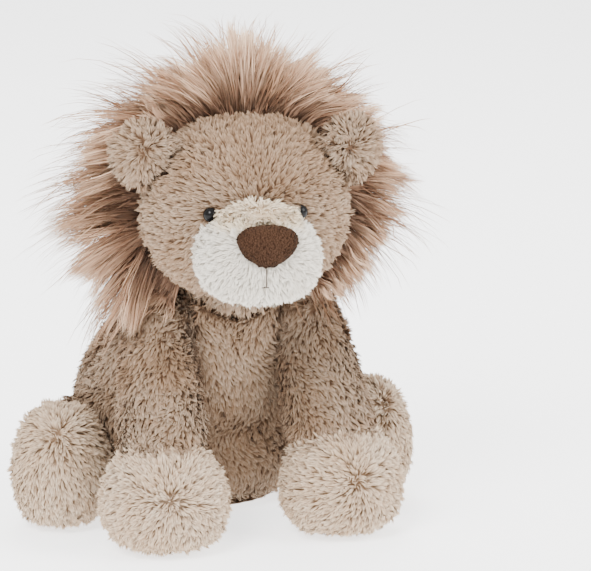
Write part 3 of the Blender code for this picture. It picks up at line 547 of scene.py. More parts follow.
def torso_keep(places, ups):
    """Thin where the torso sits on the floor, and none in the joints' sockets."""
    under = (places[:, 2] < 0.006) & (ups[:, 2] < -0.75)
    return np.where(under, 0.25, 1.0) * (ball_share(places, BODY_BALLS, 0.004) > 0.2)


def torso_tone_and_shade(places):
    """Deeper on the chest and in a patch at the belly's middle, and painted shade low between
    the legs, where the belly lies in shadow.
    """
    chest = clipped((places[:, 2] - 0.12) / 0.08) * 0.3
    belly = np.exp(-(((places - BELLY_PATCH) / BELLY_PATCH_SIZE) ** 2).sum(axis=1)) * 0.75
    # Painted shade: darker low between the front legs.
    low = clipped((0.120 - places[:, 2]) / 0.09) * clipped((-0.06 - places[:, 1]) / 0.03)
    return np.maximum(np.maximum(chest, belly), low * 0.97)


torso_skin = cloth_skin(TORSO_NODES, grain=0.0035, passes=8, sink=PILE_DEPTH, balls=BODY_BALLS)
depths = torso_skin["points"][torso_skin["faces"]].mean(axis=1)[:, 1]
for name, keep, nodes, seed in (
    ("front", depths < TORSO_SPLIT, TORSO_NODES, 11),
    ("back", depths >= TORSO_SPLIT, TORSO_NODES[:1], 12),
):
    panel = part_of_skin(torso_skin, keep)
    # The pile deepens in tone on the chest and belly patch, with painted shade between the legs.
    sheets = furred(panel, seed, TORSO_SPREAD, torso_way, keep=torso_keep, warm=torso_tone_and_shade)
    soft_piece(f"torso_plush_{name}", sheets, beige_plush, "torso", nodes)

# Neck: a gathered ball of the same beige plush that joins the body to the head. Only its back
# shows, between the shoulders and the mane.
NECK_SEAMS = ("torso_cover", "torso_stuffing", "head_cover", "head_stuffing")
RAY = Vector((0.313, 0.527, 0.791)).normalized()
RAY_STEP = 0.00002


def inside_of(nodes, depth, gap):
    """Says which places on the cloth lie in or on other solids once the pile's depth is added."""
    trees = [(tree, *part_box(node)) for tree, node in zip(solid_trees(*nodes), nodes)]

    def covered(places, ups):
        found = np.zeros(len(places), bool)
        spots = places + ups * depth
        for tree, low, high in trees:
            near = (spots > np.array(low) - gap).all(axis=1)
            near &= (spots < np.array(high) + gap).all(axis=1)
            for i in np.flatnonzero(near & ~found):
                spot = Vector(spots[i])
                if tree.find_nearest(spot)[3] < gap:
                    found[i] = True
                    continue
                crossed = 0
                hit = tree.ray_cast(spot, RAY)[0]
                while hit is not None:
                    crossed += 1
                    hit = tree.ray_cast(hit + RAY * RAY_STEP, RAY)[0]
                found[i] = crossed % 2 == 1
        return found

    return covered


def clear_of(covered):
    return lambda places, ups: ~covered(places, ups)


neck_skin = cloth_skin(["neck_cover"], grain=0.003, passes=4, sink=PILE_DEPTH)
sheets = furred(
    neck_skin, 21, spread=1.0e-6, way=torso_way, length=0.0105, width=0.0010, rise=0.5,
    keep=clear_of(inside_of(NECK_SEAMS, PILE_DEPTH, gap=0.0015)),
)
soft_piece("neck_plush", sheets, beige_plush, "neck", ["neck_cover"])

# Legs: four stuffed tubes, each with a round foot of paler plush sewn on. The pile is brushed
# down the leg, and on each foot it spreads from a whorl where the foot faces forward. The ball
# that turns in the body's socket has short pile, so that no bare cloth shows when the leg moves.
LEGS = (  # leg, foot, ball's middle and radius, foot from ball, whorl's turn by side, rise, seed
    ("front_leg", "front_paw", SHOULDER, SHOULDER_BALL, (0.012, -0.050, -0.122),
     {"left": 4, "right": -13}, 10, 31),
    ("hind_leg", "hind_foot", HIP, HIP_BALL, (0.034, -0.052, 0.004),
     {"left": 20, "right": -20}, 42, 41),
)
LEG_SPREAD = 0.95e-6
FOOT_REACH = 0.046
WHORL_SIZE = 0.026
BALL_SPREAD = 1.4e-6
BALL_PILE = 0.0050
BALL_BLADE = 0.0011
BALL_STAND = 0.05
BALL_RIM = 0.6
TORSO_SOLIDS = ("torso_cover", "torso_stuffing")

pale_plush = plush(
    "pale plush", "pale_fur",
    root=(0.17, 0.108, 0.068), low=(0.40, 0.300, 0.212), high=(0.58, 0.465, 0.350),
    tip=(0.69, 0.570, 0.432), warm=(0.84, 0.74, 0.64),
)
in_socket = inside_of(TORSO_SOLIDS, SOCKET_ROOM, gap=0.003)


def nearest_node(skin, nodes, depth):
    """Which of the nodes each triangle of a skin lies nearest to."""
    trees = solid_trees(*nodes)
    spots = (skin["points"] + skin["normals"] * depth)[skin["faces"]].mean(axis=1)
    away = [[tree.find_nearest(Vector(spot))[3] for tree in trees] for spot in spots]
    return np.array(away).argmin(axis=1)


def from_whorl(spot, fall):
    """Brushed away from a whorl, with some fall under its own weight."""
    return lambda places, ups: unit(places - spot) + np.array([0.0, 0.0, -fall])


def whorl_rise(spot, near, far, reach):
    """Pile that stands near a whorl and lies flatter away from it."""
    def rise(places, ups):
        away = clipped(np.linalg.norm(places - spot, axis=1) / reach)
        return near + (far - near) * away

    return rise


def down_leg(places, ups):
    """Brushed down, forward and a little outward."""
    down = np.tile([0.30, -0.45, -1.0], (len(places), 1))
    down[:, 0] *= np.sign(places[:, 0])
    return down


def leg_warm(places):
    """Deeper in patches towards the top of the front legs."""
    high = clipped((places[:, 2] - 0.08) / 0.07) * np.where(places[:, 0] > 0.0, 0.4, 0.75)
    return high * clipped(patchy(places, TONE_PATCH, 35) * 2.4 - 1.0)


def leg_keeps(balls):
    """Where a leg's long pile stands, thinner under the foot, and where its ball's short pile."""
    def outside(places, ups):
        share = np.where(places[:, 2] < 0.004, 0.3, 1.0)
        close = np.flatnonzero(ball_share(places, balls, PILE_DEPTH) < BALL_RIM)
        share[close] *= ~in_socket(places[close], ups[close])
        return share

    def inside(places, ups):
        share = np.zeros(len(places))
        close = np.flatnonzero(ball_share(places, balls, PILE_DEPTH) < BALL_RIM)
        share[close] = in_socket(places[close], ups[close])
        return share

    return outside, inside


for side, name in ((1.0, "left"), (-1.0, "right")):
    flip = np.array([side, 1.0, 1.0])
    for kind, foot_kind, joint, ball, reach, turns, rise, seed in LEGS:
        seed += int(side)
        root = joint * flip
        balls = ((root, ball),)
        outside, inside = leg_keeps(balls)
        nodes = [f"{kind}_cover_{name}", f"{foot_kind}_cover_{name}", f"{kind}_stuffing_{name}"]
        skin = cloth_skin(nodes, 0.003, 6, PILE_DEPTH, balls, TORSO_SOLIDS)
        mine = nearest_node(skin, nodes[:2], PILE_DEPTH)
        turn, lift = math.radians(turns[name]), math.radians(rise)
        look = np.array([
            math.sin(turn) * math.cos(lift), -math.cos(turn) * math.cos(lift), math.sin(lift)
        ])
        whorl = root + np.array(reach) * flip + look * FOOT_REACH
        leg, foot = part_of_skin(skin, mine == 0), part_of_skin(skin, mine == 1)
        body = f"{kind}_{name}"
        sheets = furred(leg, seed, LEG_SPREAD, down_leg, keep=outside, warm=leg_warm)
        short = {"length": BALL_PILE, "width": BALL_BLADE, "rise": BALL_STAND}
        sheets.append(pile(leg, seed + 9, BALL_SPREAD, down_leg, keep=inside, **short))
        soft_piece(f"{kind}_plush_{name}", sheets, beige_plush, body, [nodes[0], nodes[2]])
        sheets = furred(
            foot, seed + 5, LEG_SPREAD, from_whorl(whorl, 0.15),
            rise=whorl_rise(whorl, 0.55, 0.24, WHORL_SIZE), keep=outside, turn=0.5,
        )
        soft_piece(f"{foot_kind}_plush_{name}", sheets, pale_plush, body, [nodes[1]])

# Head: a round stuffed ball of beige plush, turned a little to the lion's right. Its pile fans
# out from between the eyes: up over the crown, sideways over the temples, down the cheeks.
HEAD_SOLIDS = ("head_cover", "head_stuffing")
HEAD_TURNED = math.radians(11)
HEAD_MIDDLE = (0.002, -0.045, 0.055)
HEAD_SPREAD = 1.14e-6
EYE_CLEAR = 0.0054
MUZZLE_SOLIDS = ("muzzle_cover_left", "muzzle_cover_right", "muzzle_stuffing")
neck_balls = ((NECK, NECK_BALL),)
to_head = Matrix.Translation(Vector(NECK)) @ Matrix.Rotation(-HEAD_TURNED, 4, "Z")


def head_place(x, y, z):
    """A place given from the head's own middle, across, ahead and up."""
    return np.array(to_head @ (Vector(HEAD_MIDDLE) + Vector((x, -y, z))))


def head_way(x, y, z):
    """A direction given in the head's own frame."""
    return np.array(to_head.to_3x3() @ Vector((x, -y, z)))


head_middle = head_place(0.0, 0.0, 0.0)
head_across, head_ahead, head_up = head_way(1, 0, 0), head_way(0, 1, 0), head_way(0, 0, 1)
brow = head_place(0.0, 0.078, 0.004)


def off_head(places):
    """How far places lie across, above and ahead of the head's middle."""
    away = places - head_middle
    return away @ head_across, away @ head_up, away @ head_ahead


def node_middle(node):
    low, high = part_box(node)
    return np.array((low + high) / 2)


eye_middles = [node_middle(name) for name in ("eye_left", "eye_right")]
under_face = inside_of((*MUZZLE_SOLIDS, "bridge_panel"), 0.001, gap=0.0005)
under_ears = inside_of(["ear_cover_left", "ear_cover_right"], PILE_DEPTH, gap=0.001)


def off_eyes(places):
    away = [np.linalg.norm(places - middle, axis=1) for middle in eye_middles]
    return np.min(away, axis=0) > EYE_CLEAR


def head_keep(places, ups):
    shown = (ball_share(places, neck_balls, 0.002) > 0.0) & off_eyes(places)
    return shown & ~under_face(places, ups) & ~under_ears(places, ups)


def forehead_darker(places):
    """Darker over the forehead than on the cheeks, from a little above the head's middle up."""
    return 0.36 * clipped((off_head(places)[1] - 0.010) / 0.025)


head_skin = cloth_skin(HEAD_SOLIDS, grain=0.0035, passes=8, sink=PILE_DEPTH, balls=neck_balls)
sheets = furred(
    head_skin, 51, HEAD_SPREAD, from_whorl(brow, 0.12), length=0.0078, width=0.00085,
    rise=whorl_rise(brow, 0.45, 0.30, 0.05), keep=head_keep, turn=0.6, warm=forehead_darker,
)
soft_piece("head_plush", sheets, beige_plush, "head", HEAD_SOLIDS)

# Muzzle: two stuffed white halves seamed under the nose, and a cream bridge between the eyes.
# Their pile is shorter and finer than the rest. It is brushed away from the nose, and on the
# bridge away from the panel's own middle.
MUZZLE_PILE_DEPTH = 0.0042
BRIDGE_PILE_DEPTH = 0.0026
FINE_BLADE = 0.0007
SEAM_PARTING = 0.0006
white_plush = plush(
    "white plush", "white_fur",
    root=(0.50, 0.45, 0.38), low=(0.63, 0.585, 0.51), high=(0.70, 0.655, 0.575),
    tip=(0.78, 0.735, 0.655), warm=(0.94, 0.925, 0.90), deep=(0.97, 0.86, 0.70),
)
cream_plush = plush(
    "cream plush", "cream_fur",
    root=(0.42, 0.32, 0.22), low=(0.66, 0.54, 0.40), high=(0.80, 0.69, 0.54),
    tip=(0.88, 0.79, 0.64), warm=(0.90, 0.85, 0.76),
)
nose_middle = node_middle("nose")
under_nose = inside_of(["nose"], 0.001, gap=0.0003)
under_bridge = inside_of(["bridge_panel"], 0.001, gap=0.0005)


def muzzle_keep(places, ups):
    """Not under the nose or the bridge, not over the eyes, and parted along the seam."""
    shown = ~under_nose(places, ups) & ~under_bridge(places, ups) & off_eyes(places)
    return shown & (np.abs(off_head(places)[0]) > SEAM_PARTING)


def muzzle_warm(places):
    """Cream beside the bridge and the nose's top, white further down and out."""
    rise = (places - nose_middle) @ head_up
    aside = np.abs(off_head(places)[0])
    return clipped((rise - 0.001) / 0.010) * clipped((0.042 - aside) / 0.014)


muzzle_skin = cloth_skin(MUZZLE_SOLIDS, grain=0.0025, passes=6, sink=MUZZLE_PILE_DEPTH)
seam_side = off_head(muzzle_skin["points"][muzzle_skin["faces"]].mean(axis=1))[0]
for name, keep, nodes, seed in (
    ("left", seam_side >= 0, ["muzzle_cover_left", "muzzle_stuffing"], 61),
    ("right", seam_side < 0, ["muzzle_cover_right"], 62),
):
    sheets = furred(
        part_of_skin(muzzle_skin, keep), seed, spread=0.7e-6, way=from_whorl(nose_middle, 0.1),
        length=0.0064, width=FINE_BLADE, pull=0.45, keep=muzzle_keep, turn=0.35, warm=muzzle_warm,
    )
    soft_piece(f"muzzle_plush_{name}", sheets, white_plush, "head", nodes)

bridge_skin = cloth_skin(["bridge_panel"], grain=0.002, passes=4, sink=BRIDGE_PILE_DEPTH)
bridge_way = from_whorl(node_middle("bridge_panel"), 0.15)
sheets = furred(
    bridge_skin, 71, spread=0.55e-6, length=0.0066, width=FINE_BLADE, way=bridge_way, rise=0.26,
    clump=0.0017, pull=0.4, turn=0.45,
)
soft_piece("bridge_plush", sheets, cream_plush, "head", ["bridge_panel"])

# Nose: a padded, rounded triangle of brown velour, whose very short pile is brushed up and out
# from its lower point. It is sewn on over the top of the muzzle's seam.
NOSE_PILE_DEPTH = 0.0010
NOSE_ASIDE = 0.0018
NOSE_WIDER_SHARE = 1.12
NOSE_LOWER_SHARE = 0.95
brown_velour = plush(
    "brown velour", "brown_velour",
    root=(0.018, 0.007, 0.003), low=(0.034, 0.015, 0.007), high=(0.062, 0.029, 0.014),
    tip=(0.105, 0.052, 0.026), warm=(0.75, 0.68, 0.62),
)
nose_skin = cloth_skin(["nose"], grain=0.0012, passes=5, sink=NOSE_PILE_DEPTH)
off_middle = nose_skin["points"] - nose_middle
aside = off_middle @ head_across * (NOSE_WIDER_SHARE - 1.0) + NOSE_ASIDE
nose_skin["points"] += head_across * aside[:, None]
nose_skin["points"] += head_up * (off_middle @ head_up * (NOSE_LOWER_SHARE - 1.0))[:, None]
nose_way = from_whorl(head_place(0.0, 0.112, -0.040), 0.0)
sheets = furred(
    nose_skin, 81, spread=0.11e-6, length=0.0017, width=0.0004, way=nose_way, rise=0.30,
    clump=0.0012, turn=0.25,
)
soft_piece("nose_velour", sheets, brown_velour, "head", ["nose"])

# Mouth: one dark thread drawn tight down the seam under the nose, ending in a short cross stitch.
# It lies on the muzzle's cloth, just proud of it.
THREAD_RADIUS = 0.00042
THREAD_SIDES = 8
THREAD_TOP = -0.0270
THREAD_END = -0.0405
THREAD_ASIDE = 0.0006
THREAD_PROUD = 0.0010
CROSS_STITCH = 0.0026
CROSS_DROP = 0.0006
LOOK_FROM = 0.20
muzzle_trees = solid_trees(*MUZZLE_SOLIDS)
dark_thread = grained(
    "dark thread", 1400.0, (0.022, 0.013, 0.010), (0.075, 0.048, 0.036), gloss=0.2, rough=0.7
)


def on_muzzle(across, rise):
    """A thread's place on the front of the muzzle, found by looking back at it from ahead."""
    start = Vector(head_place(across, LOOK_FROM, rise))
    back = Vector(head_way(0.0, -1.0, 0.0))
    hits = [tree.ray_cast(start, back)[3] for tree in muzzle_trees]
    return np.array(start + back * (min(hit for hit in hits if hit is not None) - THREAD_PROUD))


def thread_tube(places, radius, sides):
    """A closed round tube along places: points and faces."""
    points, faces = [], []
    for i, place in enumerate(places):
        run = Vector(places[min(i + 1, len(places) - 1)] - places[max(i - 1, 0)]).normalized()
        one = run.orthogonal().normalized()
        two = run.cross(one)
        for j in range(sides):
            turn = math.tau * j / sides
            points.append(Vector(place) + (one * math.cos(turn) + two * math.sin(turn)) * radius)
    for i in range(0, len(points) - sides, sides):
        for j in range(sides):
            k = (j + 1) % sides
            faces.append((i + j, i + k, i + sides + k, i + sides + j))
    faces.append(tuple(range(sides))[::-1])
    faces.append(tuple(range(len(points) - sides, len(points))))
    return points, faces


down = [on_muzzle(THREAD_ASIDE, rise) for rise in np.linspace(THREAD_TOP, THREAD_END, 26)]
across = np.linspace(-CROSS_STITCH, CROSS_STITCH, 9)
cross = [on_muzzle(aside, THREAD_END - CROSS_DROP) for aside in across]
points, faces = [], []
for places in (down, cross):
    more_points, more_faces = thread_tube(places, THREAD_RADIUS, THREAD_SIDES)
    faces += [tuple(index + len(points) for index in face) for face in more_faces]
    points += more_points
thread_mesh = bpy.data.meshes.new("mouth_thread")
thread_mesh.from_pydata([tuple(point) for point in points], [], faces)
thread_mesh.shade_smooth()
thread_mesh.materials.append(dark_thread)
mouth_thread = placed("mouth_thread", thread_mesh)
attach(mouth_thread, "head")

# Eyes: glossy black domes of moulded plastic, pressed into the pile, each on a stem that goes
# through the cloth. A moulded white washer grips each stem from inside, and lies as far behind
# its packed place as the cloth is drawn in under the pile.
EYE_RADIUS = 0.0056
EYE_DOME = 0.0046
EYE_SEAT = 0.0034
EYE_PROUD = 0.0003
EYE_STEPS = 12
EYE_PROFILE = [
    (EYE_RADIUS * math.sin(angle), EYE_DOME * math.cos(angle))
    for angle in (math.pi / 2 * i / EYE_STEPS for i in range(EYE_STEPS + 1))
]
EYE_PROFILE += [(EYE_RADIUS * 0.97, -EYE_SEAT / 2.0), (EYE_RADIUS * 0.90, -EYE_SEAT)]
WASHER_PROFILE = (
    (0.0029, -0.0006), (0.0029, 0.0006), (0.0060, 0.0006), (0.0064, 0.0), (0.0060, -0.0006)
)
WASHER_INSIDE = 0.0050
SPOKES = 40
black_plastic = grained(
    "glossy black plastic", 260.0, (0.0030, 0.0028, 0.0028), (0.0060, 0.0056, 0.0056),
    gloss=0.14, rough=(0.05, 0.13),
)
moulded_white = grained(
    "moulded white plastic", 320.0, (0.70, 0.70, 0.68), (0.82, 0.82, 0.80),
    gloss=0.4, rough=(0.38, 0.55),
)


def turned(name, profile, hollow):
    """A mesh turned from a profile of radius and height: a ring, or a dome with a flat back."""
    bm = bmesh.new()
    rings = [
        [
            bm.verts.new((radius * math.cos(turn), radius * math.sin(turn), height))
            for turn in (math.tau * j / SPOKES for j in range(SPOKES))
        ]
        for radius, height in (profile if hollow else profile[1:])
    ]
    for one, two in zip(rings, rings[1:] + (rings[:1] if hollow else [])):
        for j in range(SPOKES):
            k = (j + 1) % SPOKES
            bm.faces.new((one[j], two[j], two[k], one[k]))
    if not hollow:
        top = bm.verts.new((0.0, 0.0, profile[0][1]))
        for j in range(SPOKES):
            bm.faces.new((top, rings[0][j], rings[0][(j + 1) % SPOKES]))
        for face in bm.faces:
            face.smooth = True
        back = bm.faces.new(rings[-1][::-1])
        for edge in back.edges:
            edge.smooth = False
    bmesh.ops.recalc_face_normals(bm, faces=bm.faces)
    return mesh_from(name, bm)


def hard_piece(name, mesh, place, facing, finish, node):
    """A moulded piece on the head, turned to face outward, in place of its solid."""
    turn = facing.to_track_quat("Z", "Y").to_matrix().to_4x4()
    mesh.transform(Matrix.Translation(place) @ turn)
    mesh.materials.append(finish)
    obj = placed(name, mesh)
    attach(obj, "head")
    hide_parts(node)


for name, middle in zip(("left", "right"), eye_middles):
    facing = Vector(unit(middle - head_middle))
    dome, ring = f"eye_dome_{name}", f"washer_ring_{name}"
    hard_piece(
        dome, turned(dome, EYE_PROFILE, hollow=False), Vector(middle) + facing * EYE_PROUD,
        facing, black_plastic, f"eye_{name}",
    )
    packed = Vector(node_middle(f"eye_washer_{name}"))
    hard_piece(
        ring, turned(ring, WASHER_PROFILE, hollow=True), packed - facing * WASHER_INSIDE,
        facing, moulded_white, f"eye_washer_{name}",
    )

# Ears: a round, cupped double layer of beige plush on each side of the crown, set on a small
# gathered root. The pile stands out from the middle of the cup, longer than on the head.
EAR_PILE_DEPTH = 0.0034
EAR_TURN = math.radians(22)
off_crown = clear_of(inside_of(HEAD_SOLIDS, EAR_PILE_DEPTH, gap=0.001))
for side, name in ((1.0, "left"), (-1.0, "right")):
    nodes = [f"ear_cover_{name}", f"ear_lining_{name}"]
    skin = cloth_skin(nodes, grain=0.002, passes=5, sink=EAR_PILE_DEPTH)
    mine = nearest_node(skin, nodes, EAR_PILE_DEPTH)
    cup = node_middle(f"ear_lining_{name}")
    facing = head_way(side * math.sin(EAR_TURN), math.cos(EAR_TURN), 0.0)

    def from_cup(places, ups, cup=cup, facing=facing):
        """Brushed out from the middle of the ear's cup, with a little fall."""
        out = places - cup
        return unit(out - facing * (out @ facing)[:, None]) + np.array([0.0, 0.0, -0.1])

    seed = 91 + int(side)
    for i, (kind, rise) in enumerate((("back", 0.34), ("cup", 0.36))):
        sheets = furred(
            part_of_skin(skin, mine == i), seed + 3 * i, spread=0.65e-6, length=0.0080,
            width=0.0008, way=from_cup, rise=rise, clump=0.0023, pull=0.42, keep=off_crown,
            turn=0.5,
        )
        piece = f"ear_{kind}_plush_{name}"
        soft_piece(piece, sheets, beige_plush, f"ear_{name}", [nodes[i]])

# Mane: a hood of long-haired tan cloth sewn round the head behind the ears, in two panels with
# a seam over the crown. The hair is up to 75 mm long and sandy further out; its dark roots are
# partly painted shade deep in the hair. It fans up and out, hangs lower at the sides and at the
# back, and ends in pointed locks.
HOOD_LIFT = 0.0012
HOOD_NEAR = 0.006
HOOD_FRONT = 0.001
HOOD_DROP = 0.0056
HOOD_SLOPE = 0.010
HOOD_LOW = -0.060
HOOD_CHIN = 0.034
HOOD_NAPE = -0.030
HAIRS_A_SIDE = 15000
STRAYS_A_SIDE = 1900
HAIR_LENGTH = 0.075
STRAY_LONGER_SHARE = 1.15
HAIR_WIDTH = 0.0008
HAIR_STEPS = 6
HAIR_WIDTHS = (0.8, 1.0, 0.95, 0.85, 0.7, 0.45)
HAIR_MAP = [0.02 + 0.96 * step / HAIR_STEPS for step in range(HAIR_STEPS + 1)]
HAIR_TURNS = np.radians([0, 15, 35, 60, 90, 120, 150, 180])
HAIR_LEANS = np.radians([0, 45, 76, 99, 119, 143, 166, 178])
HAIR_LOFT = 0.0046
HAIR_OFF_HOOD = 0.0015
HOOD_REACH = 0.034
HAIR_OFF_BODY = 0.008
BODY_REACH = 0.02
HAIR_OFF_EARS = 0.003
EAR_REACH = 0.03
HAIR_LIMITS = (  # axis, sign, how far a hair may reach
    (2, 1.0, cad_high[2] + 0.019),
    (0, -1.0, -cad_low[0] + 0.0145),
    (0, 1.0, cad_high[0] + 0.0030),
)
LIMIT_FADE = 0.007
LOCK_SIZE = 0.011
LOCK_SWAY = 0.16
WISP_SWAY = 0.10
CURL = 0.0016
GATHERING = ((1.2, 0.72), (2.6, 0.46))  # power along the hair and strength, for wisps and locks
long_pile = plush(
    "long tan pile", "long_fur",
    root=(0.115, 0.060, 0.036), low=(0.41, 0.250, 0.160), high=(0.84, 0.590, 0.405),
    tip=(0.97, 0.740, 0.530), warm=(0.55, 0.45, 0.385),
)
mane_trees = solid_trees("mane_panel_left", "mane_panel_right")
ear_trees = solid_trees("ear_cover_left", "ear_cover_right")
body_trees = solid_trees("torso_cover", "front_leg_cover_left", "front_leg_cover_right")
hood = cloth_skin(HEAD_SOLIDS, grain=0.0035, passes=8, sink=-HOOD_LIFT)
hood_edge = HOOD_FRONT - off_head(hood["points"])[2]
hood["points"] -= hood["normals"] * (HOOD_DROP * clipped(1.0 - hood_edge / HOOD_SLOPE))[:, None]
hood_places = [Vector(point) for point in hood["points"]]
hood_tree = BVHTree.FromPolygons(hood_places, hood["faces"].tolist())
hood_middles = hood["points"][hood["faces"]].mean(axis=1)
under_mane = np.array([nearest_away(mane_trees, spot) for spot in hood_middles]) < HOOD_NEAR
hood_across, hood_rise, hood_ahead = off_head(hood_middles)
covered = under_mane & (hood_ahead < HOOD_FRONT) & (hood_rise > HOOD_LOW)
covered &= (np.abs(hood_across) > HOOD_CHIN) | (hood_rise > 0.0) | (hood_ahead < HOOD_NAPE)


def hair_way(places):
    """Up at the crown, out at the sides, down below in front; down and a little out behind."""
    across, rise, ahead = off_head(places)
    turn = np.arctan2(np.abs(across), rise)
    lean = np.interp(turn, HAIR_TURNS, HAIR_LEANS)
    aside = head_across * (np.sign(across) * np.sin(lean))[:, None]
    tuck = 0.15 + 0.40 * clipped((turn - 1.75) / 0.8)
    tuck += 0.40 * clipped((-ahead - 0.004) / 0.018) * clipped(1.0 - turn / 1.0)
    front = aside + head_up * np.cos(lean)[:, None] - head_ahead * tuck[:, None]
    behind = head_across * (across / 0.10)[:, None] * 0.55 - head_ahead * 0.30 - head_up
    back_share = clipped((-ahead - 0.022) / 0.045)
    crown_share = clipped((rise - 0.060) / 0.03)
    back_share = (back_share * (1.0 - crown_share * 0.6))[:, None]
    return unit(front * (1.0 - back_share) + behind * back_share)


def pushed_out(tree, spots, least, reach):
    """Moves places that lie in a solid, or nearer to it than least, out of it."""
    for i, (spot, enough) in enumerate(zip(spots, np.broadcast_to(least, len(spots)))):
        near, normal = tree.find_nearest(Vector(spot), reach)[:2]
        if near is None:
            continue
        height = (Vector(spot) - near).dot(normal)
        if height < enough:
            spots[i] += np.array(normal) * (enough - height)


def off_ears(path):
    """Which hairs stay clear of both ears along their whole path."""
    clear = np.ones(path.shape[1], bool)
    for tree in ear_trees:
        for row in path[1:]:
            for i in np.flatnonzero(clear):
                near, normal, _, away = tree.find_nearest(Vector(row[i]), EAR_REACH)
                if near is not None:
                    outside = (Vector(row[i]) - near).dot(normal) > 0.0
                    clear[i] = away > HAIR_OFF_EARS and outside
    return clear


def ribbons(path, out, width, tone, rng):
    """Hairs along paths of places, each a narrow ribbon that tapers to its tip and faces out."""
    count = path.shape[1]
    run = unit(path[1:] - path[:-1])
    side = unit(np.cross(run, out))
    lift = np.cross(side, run)
    roll = rng.normal(0.0, 0.5, count)[None, :, None]
    side = side * np.cos(roll) + lift * np.sin(roll)
    shade = unit(np.cross(side, run) * 0.45 + out * 0.55)
    side = side * (width * rng.uniform(0.7, 1.3, count)[:, None] / 2.0)
    return strips(path, side, HAIR_WIDTHS, shade, HAIR_MAP, tone)


def hair(skin, count, seed, width, stray, long, in_wisp, in_lock):
    """Long hairs that rise from the cloth, bend over and gather in wisps and locks. Stray is how
    far they keep out of them; in_wisp and in_lock are how many hairs gather in each."""
    rng = np.random.default_rng(seed)
    _, rise, ahead = off_head(sum(corners_of(skin)) / 3.0)
    at_edge = 4.0 * np.exp((ahead - HOOD_FRONT) / 0.007)
    weights = areas_of(skin) * (1.0 + at_edge + clipped(rise / 0.03 - 1.0))
    roots, ups = planted(rng, skin, weights, count)
    locks = rng.choice(count, max(1, count // in_lock), replace=False)
    wisps = rng.choice(count, max(1, count // in_wisp), replace=False)
    wisp, lock = (heads[nearest_heads(roots, heads)] for heads in (wisps, locks))

    across, rise, ahead = off_head(roots)
    behind = clipped(-ahead / 0.07)
    beneath = clipped((-rise - 0.010) / 0.045)
    far_side = clipped(across / 0.03)
    crest = clipped(1.0 - np.abs(across) / 0.012) * clipped(rise / 0.05)
    off_lock = np.linalg.norm(roots - roots[lock], axis=1)
    length = long * rng.uniform(0.78, 1.10, count) * (0.84 + 0.34 * ((lock * 7919) % 97) / 97)
    length *= 1.0 - 0.26 * clipped(off_lock / LOCK_SIZE)
    length *= 1.0 + stray * rng.random(count)
    length *= (1.0 - 0.12 * behind) * (1.0 - far_side * (0.14 + 0.50 * beneath) * (1.0 - behind))
    length *= 1.0 + 0.08 * beneath * clipped(-across / 0.03)
    length *= 1.0 - 0.22 * clipped(rise / 0.07) + 0.29 * crest
    own, by_lock, by_wisp, curl = (
        rng.normal(0.0, spread, (count, 3))
        for spread in (0.06 + 0.14 * stray, LOCK_SWAY, WISP_SWAY, CURL)
    )
    sway = own + by_lock[lock] + by_wisp[wisp]
    curl = curl[wisp]
    curl_start = rng.uniform(0.0, math.tau, count)[wisp][:, None]
    loft = HAIR_LOFT * (0.35 + 0.65 * rng.random(count)) * (0.40 + 0.60 * behind)

    path = [roots]
    stand = np.interp(np.arctan2(np.abs(across), rise), (0.0, 1.0, 1.8), (0.85, 0.62, 0.40))
    aim = unit(hair_way(roots) * 0.42 + ups * stand[:, None] + sway)
    fall = 0.015 + 0.05 * stray
    for step in range(HAIR_STEPS):
        here = path[-1] + aim * (length / HAIR_STEPS)[:, None]
        pushed_out(hood_tree, here, HAIR_OFF_HOOD + loft * (step + 1), HOOD_REACH)
        for tree in body_trees:
            pushed_out(tree, here, HAIR_OFF_BODY, BODY_REACH)
        path.append(here)
        aim = unit(aim * 0.70 + hair_way(here) * 0.36 - head_up * fall * step + sway * 0.3)
    path = np.array(path)
    for step in range(1, HAIR_STEPS + 1):
        path[step] += curl * np.sin(curl_start + step * 1.3) * step / HAIR_STEPS
    for heads, (power, strength) in zip((wisp, lock), GATHERING):
        pull = strength * rng.uniform(0.55, 1.0, count) * (1.0 - stray)
        for step in range(1, HAIR_STEPS + 1):
            share = (step / HAIR_STEPS) ** power * pull
            path[step] += (path[step][heads] - path[step]) * share[:, None]
    for axis, sign, most in HAIR_LIMITS:
        reach = (path[:, :, axis] * sign).max(axis=0)
        start = path[0, :, axis] * sign
        room = most - LIMIT_FADE * rng.random(count) - start
        share = np.minimum(1.0, room / np.maximum(reach - start, 1e-6))
        path = path[0] + (path - path[0]) * share[:, None]

    clear = off_ears(path)
    path, lock = path[:, clear], lock[clear]
    tone = 0.10 + 0.18 * patchy(path[0], 0.03, seed) + 0.24 * rng.random(len(lock))
    tone = tone + 0.26 * ((lock * 7919) % 101) / 100
    tone += 0.24 * clipped((off_head(path[0])[1] + 0.06) / 0.14)
    return ribbons(path, unit(path[1:] - head_middle), width, tone * (1.0 - 1.5 * stray), rng)


for side, name in ((1.0, "left"), (-1.0, "right")):
    panel = part_of_skin(hood, covered & (hood_across * side >= 0))
    seed = 111 + int(side)
    sheets = [
        skin_sheet(panel, seed, lift=0.22),
        hair(
            panel, HAIRS_A_SIDE, seed, HAIR_WIDTH, stray=0.0, long=HAIR_LENGTH,
            in_wisp=18, in_lock=180,
        ),
        hair(
            panel, STRAYS_A_SIDE, seed + 7, 0.0009, stray=0.45,
            long=HAIR_LENGTH * STRAY_LONGER_SHARE, in_wisp=5, in_lock=24,
        ),
    ]
    soft_piece(f"mane_{name}", sheets, long_pile, "head", [f"mane_panel_{name}"])

